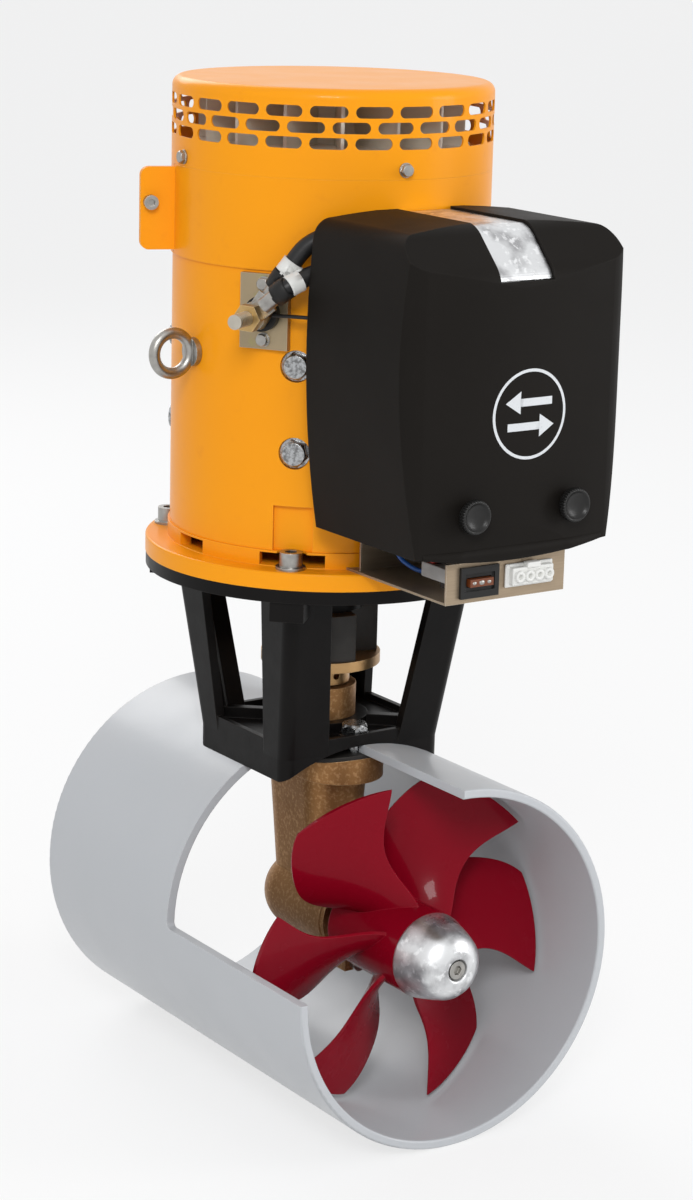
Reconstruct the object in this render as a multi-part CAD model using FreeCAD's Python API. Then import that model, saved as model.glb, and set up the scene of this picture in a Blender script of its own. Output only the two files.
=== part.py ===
import FreeCAD, Part
import math
import os
from FreeCAD import Vector

# Bow thruster in a display length of tunnel.
# Frame: origin where the motor axis meets the tunnel axis, tunnel along Y, +Z up,
# propeller and control box towards -Y. All sizes in millimetres, angles in degrees.

# tunnel
TUNNEL_R = 125.0
TUNNEL_WALL = 6.5
TUNNEL_FRONT = -181.0
TUNNEL_BACK = 171.0
TUNNEL_LIP = 1.5
WINDOW_BACK = -5.0
WINDOW_CORNER = 4.0
TUNNEL_OUT = TUNNEL_R + TUNNEL_WALL

# clearances
RUNNING = 0.05
LOOSE = 0.4
HOLE_PLAY = 0.5

# washer radius as a share of the width across the flats
WASHER_SHARE = 0.62

# motor casing, which the bracket's ring and the control box follow
BODY_R = 111.0
FLANGE_R = BODY_R + 17.4

# base and bracket
BASE_HALF_X = 68.0
BASE_HALF_Y = 58.0
BASE_CORNER = 9.0
BASE_FLOOR = TUNNEL_OUT + 3.5
BASE_RIM = 5.0
BASE_RIM_WIDTH = 4.0
RIB_WIDTH = 7.0
RIB_HEIGHT = 8.0
LEG_WALL = 7.0
LEG_FOOT_X = 38.0
LEG_FOOT_Y = 27.0
LEG_HEAD_X = 35.0
LEG_HEAD_Y = 38.0
RING_R = FLANGE_R - 0.4
RING_HOLE_R = RING_R - 40.0
LEG_HEAD_CORNER = RING_HOLE_R - 8.0
RING_BOTTOM = BASE_FLOOR + 119.9
RING_TOP = RING_BOTTOM + 9.3
BOSS_WIDTH = 24.0
BOSS_DEPTH = 14.0
BOSS_R = RING_R - 2.0

# gear leg
GASKET = 3.0
NECK_R = 26.5
NECK_TOP = BASE_FLOOR + 31.0
LEG_FLANGE_HALF_X = 32.0
LEG_FLANGE_HALF_Y = 60.0
LEG_FLANGE_BOTTOM = TUNNEL_R - 22.0
STRUT_HALF_X = 23.0
STRUT_HALF_Y = 40.0
HOUSING_R = 30.0
HOUSING_FRONT = -50.0
HOUSING_BACK = 44.0
GEAR_ROOM_R = 25.5
GEAR_ROOM_FRONT = -34.0
GEAR_ROOM_BACK = 18.0
OIL_BORE_R = 17.0
OIL_BORE_TOP = LEG_FLANGE_BOTTOM - 11.0
CARRIER_FLANGE = 5.0
CARRIER_FLANGE_R = 29.5
LUG_HALF_X = 9.0
LUG_BOTTOM = -41.0
BASE_BOLT_R = 6.0
BASE_BOLT_Y = 46.0
BASE_BOLT_ACROSS = 18.0
BASE_BOLT_TIP = LEG_FLANGE_BOTTOM + 3.0

# shafts, bearings and gears
DRIVE_SHAFT_R = 8.0
DRIVE_SHAFT_BOTTOM = 15.5
PROP_SHAFT_R = 10.0
PROP_SHAFT_FRONT = -158.0
PROP_SHAFT_BACK = 30.0
BEARING_HEIGHT = 10.0
LOWER_BEARING_Z = 30.0
REAR_BEARING_Y = 19.5
REAR_BEARING_R = 17.0
FRONT_BEARING_Y = -45.0
FRONT_BEARING_R = 19.0
SEAL_R = 15.0
SEAL_HEIGHT = 7.0
GEAR_MODULE = 1.8
PINION_TEETH = 14
CROWN_TEETH = 24
GEAR_FACE = 6.5
TOOTH_SHARE = 0.40

# propeller
PROP_TIP_GAP = 4.0
PROP_R = TUNNEL_R - PROP_TIP_GAP
PROP_BLADES = 6
PROP_HUB_R = 31.5
PROP_HUB_FRONT = -146.0
PROP_HUB_BACK = -63.0
PROP_CENTRE = -110.0
PROP_PITCH = 278.0
BLADE_ANGLE = -4.0
BLADE_STEPS = 6
BLADE_EDGE = 0.08
# blade outline: share of the tip radius, angles of the front and rear edge, thickness
BLADE_STATIONS = (
    (0.21, -29.0, 19.0, 9.0),
    (0.33, -22.0, 29.0, 8.0),
    (0.47, -13.0, 36.5, 6.8),
    (0.63, -10.0, 36.0, 5.6),
    (0.80, -12.5, 28.5, 4.6),
    (0.93, -15.4, 21.5, 3.8),
    (1.01, -16.6, 15.5, 3.4),
)
PIN_R = 3.0
PIN_Y = -69.0
NOSE_TIP = -181.0
NOSE_TIP_R = 13.0
NOSE_SCREW_R = 4.0

# flexible coupling
COUPLING_DISC_R = 43.5
COUPLING_HUB_BOTTOM = NECK_TOP + 1.5
COUPLING_DISC_BOTTOM = COUPLING_HUB_BOTTOM + 15.0
COUPLING_DISC_TOP = COUPLING_DISC_BOTTOM + 7.5
DRIVE_SHAFT_TOP = COUPLING_DISC_TOP
COUPLING_HUB_R = 21.5
JAW_R = 41.0
JAW_ANGLE = -14.5
JAW_TOP = COUPLING_DISC_TOP + 34.0
DRIVER_TOP = JAW_TOP + 12.0

# motor
FLANGE_TOP = RING_TOP + 12.3
SHIELD_R = BODY_R + 1.5
SHIELD_TOP = FLANGE_TOP + 11.0
BODY_WALL = 8.0
BODY_TOP = SHIELD_TOP + 242.5
MOTOR_SHAFT_R = 14.0
MOTOR_SHAFT_BOTTOM = COUPLING_DISC_TOP + 6.0
MOTOR_BEARING_R = 31.0
MOTOR_BEARING_HEIGHT = 16.0
LOWER_MOTOR_BEARING_Z = RING_TOP + 3.8
UPPER_MOTOR_BEARING_Z = BODY_TOP + 6.0
POLE_R = BODY_R - 39.0
POLE_HALF_ANGLE = 30.0
POLE_BOTTOM = SHIELD_TOP + 47.5
POLE_TOP = POLE_BOTTOM + 103.0
ARMATURE_R = POLE_R - 2.0
COMMUTATOR_R = 42.0
COMMUTATOR_BOTTOM = POLE_TOP + 30.0
COMMUTATOR_TOP = COMMUTATOR_BOTTOM + 44.0
POLE_BOLT_LEVELS = (POLE_BOTTOM + 21.0, POLE_TOP - 22.0)
POLE_BOLT_R = 6.0
POLE_BOLT_ACROSS = 17.0
POLE_COUNTERBORE_R = 11.0
BAND_R = BODY_R + 1.4
BAND_BOTTOM = BODY_TOP - 50.0
BAND_TOP = BODY_TOP + 12.3
BAND_TAB = 24.0
BAND_TAB_ANGLE = 160.0
CAP_TOP = BAND_TOP + 59.7
MOTOR_SHAFT_TOP = CAP_TOP - 8.0
CAP_WALL = 1.6
CAP_FILLET = 7.0
SLOT_COUNT = 23
SLOT_LENGTH = 25.5
SLOT_HEIGHT = 7.6
SLOT_LEVELS = (CAP_TOP - 15.0, CAP_TOP - 25.4, CAP_TOP - 35.8)
SLOT_START = -125.4
FAN_R = BODY_R - 15.0
FAN_BOTTOM = CAP_TOP - 46.0
FAN_TOP = CAP_TOP - 12.0
BRUSH_BOTTOM = COMMUTATOR_BOTTOM + 12.0
BRUSH_TOP = COMMUTATOR_TOP - 10.0
HOLDER_EDGE = 4.0
BRUSH_WINDOW_MARGIN = 10.0
CAP_SCREW_Z = BAND_TOP + 6.7
CAP_SCREW_ANGLE = -98.0
FLANGE_BOLT_CIRCLE = BODY_R + 4.0
FLANGE_BOLT_R = 5.0
FLANGE_BOLT_HEAD_R = 8.0
RELIEF_R = FLANGE_BOLT_CIRCLE - FLANGE_BOLT_HEAD_R - HOLE_PLAY
RELIEF_HALF = 14.0
RELIEF_TOP = SHIELD_TOP + 31.5

# lifting eye
EYE_Z = BODY_TOP - 113.0
EYE_ANGLE = 180.0
EYE_R = 18.0
EYE_HOLE_R = 10.0

# terminal
TERMINAL_ANGLE = -146.3
TERMINAL_Z = BODY_TOP - 78.4
TERMINAL_PLATE_WIDTH = 35.0
TERMINAL_PLATE_BOTTOM = TERMINAL_Z - 24.6
TERMINAL_PLATE_TOP = TERMINAL_Z + 26.4
TERMINAL_PLATE_R = BODY_R + 2.0
TERMINAL_STUD_R = 5.0
TERMINAL_STUD_END = BODY_R + 52.0
CABLE_R = 6.2
BARREL_R = 5.4
BARREL_LENGTH = 12.0
WIRE_R = 1.3

# control box
COVER_BACK = 3.0 - BODY_R
COVER_FRONT = COVER_BACK - 122.0
COVER_BOTTOM = FLANGE_TOP + 34.5
COVER_TOP = COVER_BOTTOM + 213.0
COVER_HALF_BOTTOM = 79.0
COVER_HALF_MIDDLE = 90.0
COVER_HALF_TOP = 86.5
COVER_CORNER = 14.0
COVER_BEVEL = 32.0
COVER_BEVEL_DROP = 30.0
COVER_WALL = 2.6
COVER_GAP = 1.5
CHANNEL_HALF = 22.0
CHANNEL_DEPTH = 3.0
CHANNEL_LOW = COVER_TOP - 35.0
PLATE_THICK = 1.0
KNOB_X = 41.0
KNOB_Z = COVER_BOTTOM + 28.0
KNOB_R = 10.0
KNOB_FRONT = COVER_FRONT - 8.5
STUD_R = 3.0
TRAY_HALF = 49.0
TRAY_FRONT = COVER_FRONT + 12.5
TRAY_LIP_TOP = FLANGE_TOP + 27.5
TRAY_SHEET = 1.5
UPRIGHT_HALF = 46.0
UPRIGHT_TOP = COVER_TOP - 56.0
UPRIGHT_Y = -BAND_R - 2.1
TRAY_SCREW_LEVELS = (COVER_BOTTOM + 19.0, UPRIGHT_TOP - 12.0)
TRAY_PAD_R = 9.0
CONTACTOR_BOTTOM = COVER_BOTTOM + 74.0
CONTACTOR_TOP = CONTACTOR_BOTTOM + 55.0
FUSE_X = -23.0
FUSE_Z = FLANGE_TOP + 14.0
CONNECTOR_X = 18.0
CONNECTOR_Z = FLANGE_TOP + 15.0


def disc(radius, bottom, top, x=0.0, y=0.0):
    return Part.makeCylinder(radius, top - bottom, Vector(x, y, bottom))


def tube(outer, inner, bottom, top):
    return disc(outer, bottom, top).cut(disc(inner, bottom - 1, top + 1))


def rod(radius, start, end, x=0.0, z=0.0):
    return Part.makeCylinder(radius, end - start, Vector(x, start, z), Vector(0, 1, 0))


def sleeve(outer, inner, start, end):
    return rod(outer, start, end).cut(rod(inner, start - 1, end + 1))


def block(x0, x1, y0, y1, z0, z1):
    return Part.makeBox(x1 - x0, y1 - y0, z1 - z0, Vector(x0, y0, z0))


def polar(radius, angle, z=0.0):
    turn = math.radians(angle)
    return Vector(radius * math.cos(turn), radius * math.sin(turn), z)


def turned(shape, angle):
    copy = shape.copy()
    copy.rotate(Vector(0, 0, 0), Vector(0, 0, 1), angle)
    return copy


def spun(shape, angle):
    copy = shape.copy()
    copy.rotate(Vector(0, 0, 0), Vector(0, 1, 0), angle)
    return copy


def placed(shape, point, direction):
    copy = shape.copy()
    turn = FreeCAD.Rotation(Vector(0, 0, 1), direction)
    copy.Placement = FreeCAD.Placement(point, turn)
    return copy


def fused(pieces):
    return pieces[0].multiFuse(pieces[1:]).removeSplitter()


def drilled(shape, tools):
    return shape.cut(Part.makeCompound(tools))


def polygon(points):
    return Part.makePolygon(points + [points[0]])


def closed(edges):
    return Part.Face(Part.Wire(edges))


def line(a, b):
    return Part.LineSegment(a, b).toShape()


def arc(a, b, c):
    return Part.Arc(a, b, c).toShape()


def edges_where(shape, test):
    return [edge for edge in shape.Edges if test(edge)]


def hexagon(across, height):
    radius = across / math.sqrt(3)
    corners = [polar(radius, 60 * step) for step in range(6)]
    return Part.Face(polygon(corners)).extrude(Vector(0, 0, height))


def hex_bolt(radius, across, head, length, washer):
    """Bolt along Z: washer on z = 0, head above it, shank below."""
    pad = disc(across * WASHER_SHARE, 0, washer)
    top = hexagon(across, head)
    top.translate(Vector(0, 0, washer))
    bevel = Part.makeCone(across * 0.62, across * 0.42, head * 0.6, Vector(0, 0, washer + head * 0.5))
    crown = top.common(disc(across, 0, washer + head * 0.5).fuse(bevel))
    return fused([pad, crown, disc(radius, -length, washer)])


def socket_screw(radius, head_radius, head, length, washer=0.0):
    """Socket head screw along Z, its seat on z = 0."""
    pieces = [disc(head_radius, washer, washer + head), disc(radius, -length, washer)]
    if washer:
        pieces.append(disc(head_radius * 1.3, 0, washer))
    socket = hexagon(head_radius, head * 0.6)
    socket.translate(Vector(0, 0, washer + head * 0.5))
    return fused(pieces).cut(socket)


def stadium(half_x, half_y, z):
    """Closed wire, straight along Y with round ends."""
    run = half_y - half_x
    a = Vector(half_x, -run, z)
    b = Vector(half_x, run, z)
    c = Vector(-half_x, run, z)
    d = Vector(-half_x, -run, z)
    return Part.Wire([line(a, b), arc(b, Vector(0, half_y, z), c), line(c, d),
                      arc(d, Vector(0, -half_y, z), a)])


def stadium_block(half_x, half_y, bottom, top):
    return Part.Face(stadium(half_x, half_y, bottom)).extrude(Vector(0, 0, top - bottom))


# ---------------------------------------------------------------- tunnel and bracket

def base_bolt_holes(bottom, top):
    return [disc(BASE_BOLT_R + HOLE_PLAY, bottom, top, 0, side * BASE_BOLT_Y) for side in (-1, 1)]


def make_tunnel():
    wall = sleeve(TUNNEL_OUT, TUNNEL_R, TUNNEL_FRONT, TUNNEL_BACK)
    wall = wall.makeFillet(TUNNEL_LIP, edges_where(wall, lambda edge: len(edge.Vertexes) == 1))
    reach = TUNNEL_OUT + 1
    window = block(-reach, 0, TUNNEL_FRONT - 1, WINDOW_BACK, 0, reach)

    def inner_corner(edge):
        centre = edge.CenterOfMass
        return abs(centre.y - WINDOW_BACK) < 0.01 and (abs(centre.x) < 0.01 or abs(centre.z) < 0.01)

    window = window.makeFillet(WINDOW_CORNER, edges_where(window, inner_corner))
    passage = disc(NECK_R + HOLE_PLAY, TUNNEL_R / 2, reach)
    return drilled(wall, [window, passage] + base_bolt_holes(TUNNEL_R / 2, reach))


def corner_outline(corner_x, corner_y, run_x, run_y, z):
    """Angle section of one bracket leg, its rounded heel outwards."""
    heel = BASE_CORNER
    toe = heel - LEG_WALL + 3.0
    inner_x = corner_x - LEG_WALL
    inner_y = corner_y - LEG_WALL
    slant = 1 - math.sqrt(0.5)
    a = Vector(corner_x - run_x, corner_y, z)
    b = Vector(corner_x - heel, corner_y, z)
    b_mid = Vector(corner_x - heel * slant, corner_y - heel * slant, z)
    c = Vector(corner_x, corner_y - heel, z)
    d = Vector(corner_x, corner_y - run_y, z)
    e = Vector(inner_x, corner_y - run_y, z)
    f = Vector(inner_x, inner_y - toe, z)
    f_mid = Vector(inner_x - toe * slant, inner_y - toe * slant, z)
    g = Vector(inner_x - toe, inner_y, z)
    h = Vector(corner_x - run_x, inner_y, z)
    return Part.Wire([line(a, b), arc(b, b_mid, c), line(c, d), line(d, e),
                      line(e, f), arc(f, f_mid, g), line(g, h), line(h, a)])


def web_outline(corner_x, corner_y, depth, z):
    """Thin web that stiffens the inside of a bracket leg."""
    heel = Vector(corner_x - LEG_WALL, corner_y - LEG_WALL, z)
    inward = Vector(-corner_x, -corner_y, 0).normalize()
    across = Vector(-inward.y, inward.x, 0) * (RIB_WIDTH / 2)
    start = heel - inward * 2.0
    end = heel + inward * depth
    return polygon([start - across, start + across, end + across, end - across])


def bracket_leg(side_x, side_y):
    head = LEG_HEAD_CORNER
    low = BASE_FLOOR - 6.0
    high = RING_BOTTOM + 2.0
    foot = corner_outline(BASE_HALF_X, BASE_HALF_Y, LEG_FOOT_X, LEG_FOOT_Y, low)
    top = corner_outline(head, head, LEG_HEAD_X, LEG_HEAD_Y, high)
    angle = Part.makeLoft([foot, top], True, True)
    web = Part.makeLoft([web_outline(BASE_HALF_X, BASE_HALF_Y, 14.0, low),
                         web_outline(head, head, 12.0, high)],
                        True, True)
    leg = angle.fuse(web)
    if side_x < 0:
        leg = leg.mirror(Vector(0, 0, 0), Vector(1, 0, 0))
    if side_y < 0:
        leg = leg.mirror(Vector(0, 0, 0), Vector(0, 1, 0))
    return leg


def flange_bolt_angles():
    return [45 + 90 * step for step in range(4)]


def base_rib(side_x, side_y):
    """Low rib across the base floor, from the middle out to a leg."""
    outer = Vector(side_x * (BASE_HALF_X - 8), side_y * (BASE_HALF_Y - 8), 0)
    across = Vector(-outer.y, outer.x, 0).normalize() * (RIB_WIDTH / 2)
    foot = Vector(0, 0, BASE_FLOOR - 3)
    corners = [foot + across, foot + outer + across, foot + outer - across, foot - across]
    return Part.Face(polygon(corners)).extrude(Vector(0, 0, RIB_HEIGHT + 3))


def make_bracket():
    corners = [(x, y) for x in (-1, 1) for y in (-1, 1)]
    rim_top = BASE_FLOOR + BASE_RIM
    tray = block(-BASE_HALF_X, BASE_HALF_X, -BASE_HALF_Y, BASE_HALF_Y, TUNNEL_R * 0.8, rim_top)
    tray = tray.makeFillet(BASE_CORNER, edges_where(tray, lambda edge: abs(edge.tangentAt(0).z) > 0.9))
    inside_x = BASE_HALF_X - BASE_RIM_WIDTH
    inside_y = BASE_HALF_Y - BASE_RIM_WIDTH
    pocket = block(-inside_x, inside_x, -inside_y, inside_y, BASE_FLOOR, rim_top + 1)
    pocket = pocket.makeFillet(BASE_CORNER - BASE_RIM_WIDTH,
                               edges_where(pocket, lambda edge: abs(edge.tangentAt(0).z) > 0.9))
    tray = tray.cut(pocket)
    pieces = [tray, disc(NECK_R + 9, BASE_FLOOR - 3, BASE_FLOOR + RIB_HEIGHT),
              tube(RING_R, RING_HOLE_R, RING_BOTTOM, RING_TOP)]
    pieces += [bracket_leg(x, y) for x, y in corners]
    pieces += [base_rib(x, y) for x, y in corners]
    for angle in flange_bolt_angles():
        boss = block(BOSS_R - BOSS_WIDTH, BOSS_R, -BOSS_WIDTH / 2, BOSS_WIDTH / 2,
                     RING_BOTTOM - BOSS_DEPTH, RING_BOTTOM + 1)
        pieces.append(turned(boss, angle))
    frame = fused(pieces)
    holes = base_bolt_holes(TUNNEL_R / 2, rim_top + 20)
    holes += [disc(FLANGE_BOLT_R, RING_BOTTOM - BOSS_DEPTH - 1, RING_TOP + 1,
                   polar(FLANGE_BOLT_CIRCLE, angle).x, polar(FLANGE_BOLT_CIRCLE, angle).y)
              for angle in flange_bolt_angles()]
    holes.append(disc(NECK_R + HOLE_PLAY, TUNNEL_R / 2, rim_top + 20))
    holes += [disc(BASE_BOLT_ACROSS * WASHER_SHARE + HOLE_PLAY, BASE_FLOOR, rim_top + 1, 0,
                   side * BASE_BOLT_Y)
              for side in (-1, 1)]
    holes.append(rod(TUNNEL_OUT, -BASE_HALF_Y - 2, BASE_HALF_Y + 2))
    return drilled(frame, holes)


# ---------------------------------------------------------------- gear leg

def saddle_layer(outer, thickness, half_x, half_y):
    """Oblong pad curved to the inside of the tunnel."""
    reach = half_y + 5
    shell = sleeve(outer, outer - thickness, -reach, reach)
    return shell.common(stadium_block(half_x, half_y, 0, outer + 1))


def make_leg_gasket():
    pad = saddle_layer(TUNNEL_R, GASKET, LEG_FLANGE_HALF_X, LEG_FLANGE_HALF_Y)
    return drilled(pad, [disc(NECK_R, 0, TUNNEL_R + 5)] + base_bolt_holes(0, TUNNEL_R + 5))


def housing_form():
    """Gear housing along Y with a domed back."""
    dome = HOUSING_BACK - HOUSING_R
    slant = HOUSING_R * math.sqrt(0.5)
    front = Vector(0, HOUSING_FRONT, 0)
    rim = Vector(HOUSING_R, HOUSING_FRONT, 0)
    shoulder = Vector(HOUSING_R, dome, 0)
    tip = Vector(0, HOUSING_BACK, 0)
    mid = Vector(slant, dome + slant, 0)
    face = closed([line(front, rim), line(rim, shoulder), arc(shoulder, mid, tip), line(tip, front)])
    return face.revolve(Vector(0, 0, 0), Vector(0, 1, 0), 360)


def housing_lug(front, back):
    return block(-LUG_HALF_X, LUG_HALF_X, front, back, LUG_BOTTOM, -HOUSING_R * 0.7)


def lug_screw_z():
    return (LUG_BOTTOM - HOUSING_R) / 2


def make_gear_leg():
    crown = TUNNEL_R - GASKET
    flange = stadium_block(LEG_FLANGE_HALF_X, LEG_FLANGE_HALF_Y, LEG_FLANGE_BOTTOM, crown + 1)
    flange = flange.common(rod(crown, -LEG_FLANGE_HALF_Y - 2, LEG_FLANGE_HALF_Y + 2))
    strut = Part.makeLoft([stadium(STRUT_HALF_X - 2, STRUT_HALF_Y - 6, 5.0),
                           stadium(STRUT_HALF_X, STRUT_HALF_Y, 60.0),
                           stadium(STRUT_HALF_X + 3, STRUT_HALF_Y + 4, LEG_FLANGE_BOTTOM + 1)], True, False)
    neck = disc(NECK_R, LEG_FLANGE_BOTTOM, NECK_TOP)
    lug = housing_lug(HOUSING_FRONT, HOUSING_FRONT + 16)
    leg = fused([flange, strut, neck, housing_form(), lug])
    seal_floor = NECK_TOP - SEAL_HEIGHT
    cuts = [disc(OIL_BORE_R, 0, OIL_BORE_TOP), disc(DRIVE_SHAFT_R + 3, OIL_BORE_TOP - 1, NECK_TOP + 1),
            disc(SEAL_R, seal_floor, NECK_TOP + 1),
            rod(GEAR_ROOM_R, HOUSING_FRONT - 1, GEAR_ROOM_BACK),
            rod(REAR_BEARING_R, GEAR_ROOM_BACK - 1, REAR_BEARING_Y + BEARING_HEIGHT + 1.5),
            rod(3.0, HOUSING_FRONT - 1, HOUSING_FRONT + 12, 0, lug_screw_z())]
    cuts += [disc(BASE_BOLT_R, BASE_BOLT_TIP, TUNNEL_R, 0, side * BASE_BOLT_Y) for side in (-1, 1)]
    return drilled(leg, cuts)


def make_bearing_carrier():
    front = HOUSING_FRONT - CARRIER_FLANGE
    body = fused([rod(GEAR_ROOM_R, HOUSING_FRONT, GEAR_ROOM_FRONT),
                  rod(CARRIER_FLANGE_R, front, HOUSING_FRONT),
                  housing_lug(front, HOUSING_FRONT)])
    return drilled(body, [rod(FRONT_BEARING_R, FRONT_BEARING_Y, GEAR_ROOM_FRONT + 1),
                          rod(PROP_SHAFT_R + 1, front - 1, GEAR_ROOM_FRONT + 1),
                          rod(SEAL_R, front - 1, front + SEAL_HEIGHT),
                          rod(3.0, front - 1, HOUSING_FRONT + 1, 0, lug_screw_z())])


def make_base_bolts():
    bolt = hex_bolt(BASE_BOLT_R, BASE_BOLT_ACROSS, 8.0, BASE_FLOOR - BASE_BOLT_TIP, 2.5)
    return [placed(bolt, Vector(0, side * BASE_BOLT_Y, BASE_FLOOR), Vector(0, 0, 1)) for side in (-1, 1)]


def make_carrier_screw():
    screw = socket_screw(3.0, 5.0, 6.0, CARRIER_FLANGE + 11)
    return [placed(screw, Vector(0, HOUSING_FRONT - CARRIER_FLANGE, lug_screw_z()), Vector(0, -1, 0))]


def ball_bearing(outer, inner, height):
    """Outer race, inner race and shields of one bearing, standing on z = 0."""
    third = (outer - inner) / 3
    groove = tube(outer - third, inner + third, -1, 0.6)
    lower = tube(outer, inner, 0, height).cut(groove)
    upper = groove.copy()
    upper.translate(Vector(0, 0, height + 0.4))
    return lower.cut(upper)


def make_leg_bearings():
    bearing = ball_bearing(OIL_BORE_R, DRIVE_SHAFT_R + RUNNING, BEARING_HEIGHT)
    upper = OIL_BORE_TOP - BEARING_HEIGHT
    return [placed(bearing, Vector(0, 0, level), Vector(0, 0, 1)) for level in (LOWER_BEARING_Z, upper)]


def make_prop_bearings():
    front = ball_bearing(FRONT_BEARING_R, PROP_SHAFT_R + RUNNING, BEARING_HEIGHT)
    back = ball_bearing(REAR_BEARING_R, PROP_SHAFT_R + RUNNING, BEARING_HEIGHT)
    return [placed(front, Vector(0, FRONT_BEARING_Y, 0), Vector(0, 1, 0)),
            placed(back, Vector(0, REAR_BEARING_Y, 0), Vector(0, 1, 0))]


def make_shaft_seals():
    front = HOUSING_FRONT - CARRIER_FLANGE
    return [tube(SEAL_R, DRIVE_SHAFT_R + RUNNING, NECK_TOP - SEAL_HEIGHT, NECK_TOP),
            sleeve(SEAL_R, PROP_SHAFT_R + RUNNING, front, front + SEAL_HEIGHT)]


# ---------------------------------------------------------------- bevel gears

def tooth_ring(teeth, cone, scale):
    """Closed outline of a straight bevel gear on the plane of its pitch circle, scaled to the apex."""
    pitch_r = GEAR_MODULE * teeth / 2 * scale
    height = pitch_r / math.tan(cone)
    lift = GEAR_MODULE * scale
    tip_r = pitch_r + 0.95 * lift / math.cos(cone)
    root_r = pitch_r - 1.2 * lift / math.cos(cone)
    step = 360.0 / teeth
    half_tip = step * TOOTH_SHARE * 0.24
    half_root = step * TOOTH_SHARE * 0.78
    points = []
    for tooth in range(teeth):
        middle = tooth * step
        points.append(polar(root_r, middle - half_root, height))
        points.append(polar(tip_r, middle - half_tip, height))
        points.append(polar(tip_r, middle + half_tip, height))
        points.append(polar(root_r, middle + half_root, height))
    return polygon(points)


def bevel_gear(teeth, mate, hub_r, hub_back, bore):
    """Bevel gear about Z, apex at the origin, teeth facing down."""
    cone = math.atan2(teeth, mate)
    heel = GEAR_MODULE * math.hypot(teeth, mate) / 2
    toe = (heel - GEAR_FACE) / heel
    teeth_body = Part.makeLoft([tooth_ring(teeth, cone, toe), tooth_ring(teeth, cone, 1.0)], True, True)
    back = heel * math.cos(cone)
    rim = GEAR_MODULE * (teeth / 2 + 0.95 * math.cos(cone))
    teeth_body = teeth_body.common(disc(rim, 0, back))
    hub = disc(hub_r, back, hub_back)
    return fused([teeth_body, hub]).cut(disc(bore, -1, hub_back + 5))


def make_pinion():
    return bevel_gear(PINION_TEETH, CROWN_TEETH, 10.0, LOWER_BEARING_Z - LOOSE, DRIVE_SHAFT_R)


def make_crown_gear():
    gear = bevel_gear(CROWN_TEETH, PINION_TEETH, 16.0, 24.0, PROP_SHAFT_R)
    return placed(gear, Vector(0, 0, 0), Vector(0, -1, 0))


# ---------------------------------------------------------------- propeller

def blade_section(share, front, rear, thick):
    """Closed wire of one blade section, wrapped on the cylinder at this share of the tip radius.
    Front and rear are the angles of its two edges, measured along the pitch helix from the blade's middle."""
    radius = PROP_R * share
    rise = PROP_PITCH / 360.0
    slope = math.atan2(PROP_PITCH, 2 * math.pi * radius)
    upper = []
    lower = []
    for step in range(BLADE_STEPS + 1):
        along = step / BLADE_STEPS
        helix = front + (rear - front) * along
        bulge = thick / 2 * math.sqrt(max(BLADE_EDGE, 1 - (2 * along - 1) ** 2))
        for side, points in ((1, upper), (-1, lower)):
            forward = rise * helix + side * bulge * math.cos(slope)
            angle = BLADE_ANGLE + helix - side * math.degrees(bulge * math.sin(slope) / radius)
            point = polar(radius, angle)
            points.append(Vector(point.x, PROP_CENTRE + forward, point.y))
    top = Part.BSplineCurve()
    top.interpolate(upper)
    bottom = Part.BSplineCurve()
    bottom.interpolate(lower)
    return Part.Wire([top.toShape(), line(upper[-1], lower[-1]), bottom.toShape(),
                      line(lower[0], upper[0])])


def make_propeller():
    blade = Part.makeLoft([blade_section(*station) for station in BLADE_STATIONS], True, False)
    blade = blade.common(rod(PROP_R, PROP_CENTRE - 60, PROP_CENTRE + 60))
    hub = rod(PROP_HUB_R, PROP_HUB_FRONT, PROP_HUB_BACK)
    hub = hub.makeFillet(2.0, edges_where(hub,
                          lambda edge: len(edge.Vertexes) == 1 and edge.CenterOfMass.y > PROP_CENTRE))
    pieces = [hub] + [spun(blade, step * 360.0 / PROP_BLADES) for step in range(PROP_BLADES)]
    prop = fused(pieces)
    slot = block(-PIN_R, PIN_R, PIN_Y, PROP_HUB_BACK + 1, -22, 22)
    return drilled(prop, [rod(PROP_SHAFT_R, PROP_HUB_FRONT - 1, PROP_HUB_BACK + 1), slot,
                          Part.makeCylinder(PIN_R, 44, Vector(0, PIN_Y, -22))])


def make_prop_shaft():
    shaft = rod(PROP_SHAFT_R, PROP_SHAFT_FRONT, PROP_SHAFT_BACK)
    return drilled(shaft, [Part.makeCylinder(PIN_R, 44, Vector(0, PIN_Y, -22)),
                           rod(NOSE_SCREW_R, PROP_SHAFT_FRONT - 1, PROP_SHAFT_FRONT + 16)])


def make_drive_pin():
    return [Part.makeCylinder(PIN_R, 43, Vector(0, PIN_Y, -21.5))]


def make_nose_cone():
    base = PROP_HUB_FRONT
    a = Vector(0, base, 0)
    b = Vector(PROP_HUB_R, base, 0)
    c = Vector(NOSE_TIP_R, NOSE_TIP, 0)
    mid = Vector(PROP_HUB_R * 0.86, base + (NOSE_TIP - base) * 0.55, 0)
    d = Vector(0, NOSE_TIP, 0)
    cone = closed([line(a, b), arc(b, mid, c), line(c, d), line(d, a)]).revolve(Vector(0, 0, 0),
                                                                                Vector(0, 1, 0), 360)
    return drilled(cone, [rod(PROP_SHAFT_R, PROP_SHAFT_FRONT, base + 1),
                          rod(NOSE_SCREW_R + HOLE_PLAY, NOSE_TIP - 1, base),
                          rod(8.0, NOSE_TIP - 1, NOSE_TIP + 7)])


def make_nose_screw():
    head = 7.0
    screw = socket_screw(NOSE_SCREW_R, 6.5, head - 1, PROP_SHAFT_FRONT + 14 - (NOSE_TIP + head))
    return [placed(screw, Vector(0, NOSE_TIP + head, 0), Vector(0, -1, 0))]


# ---------------------------------------------------------------- coupling and motor shaft

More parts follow.
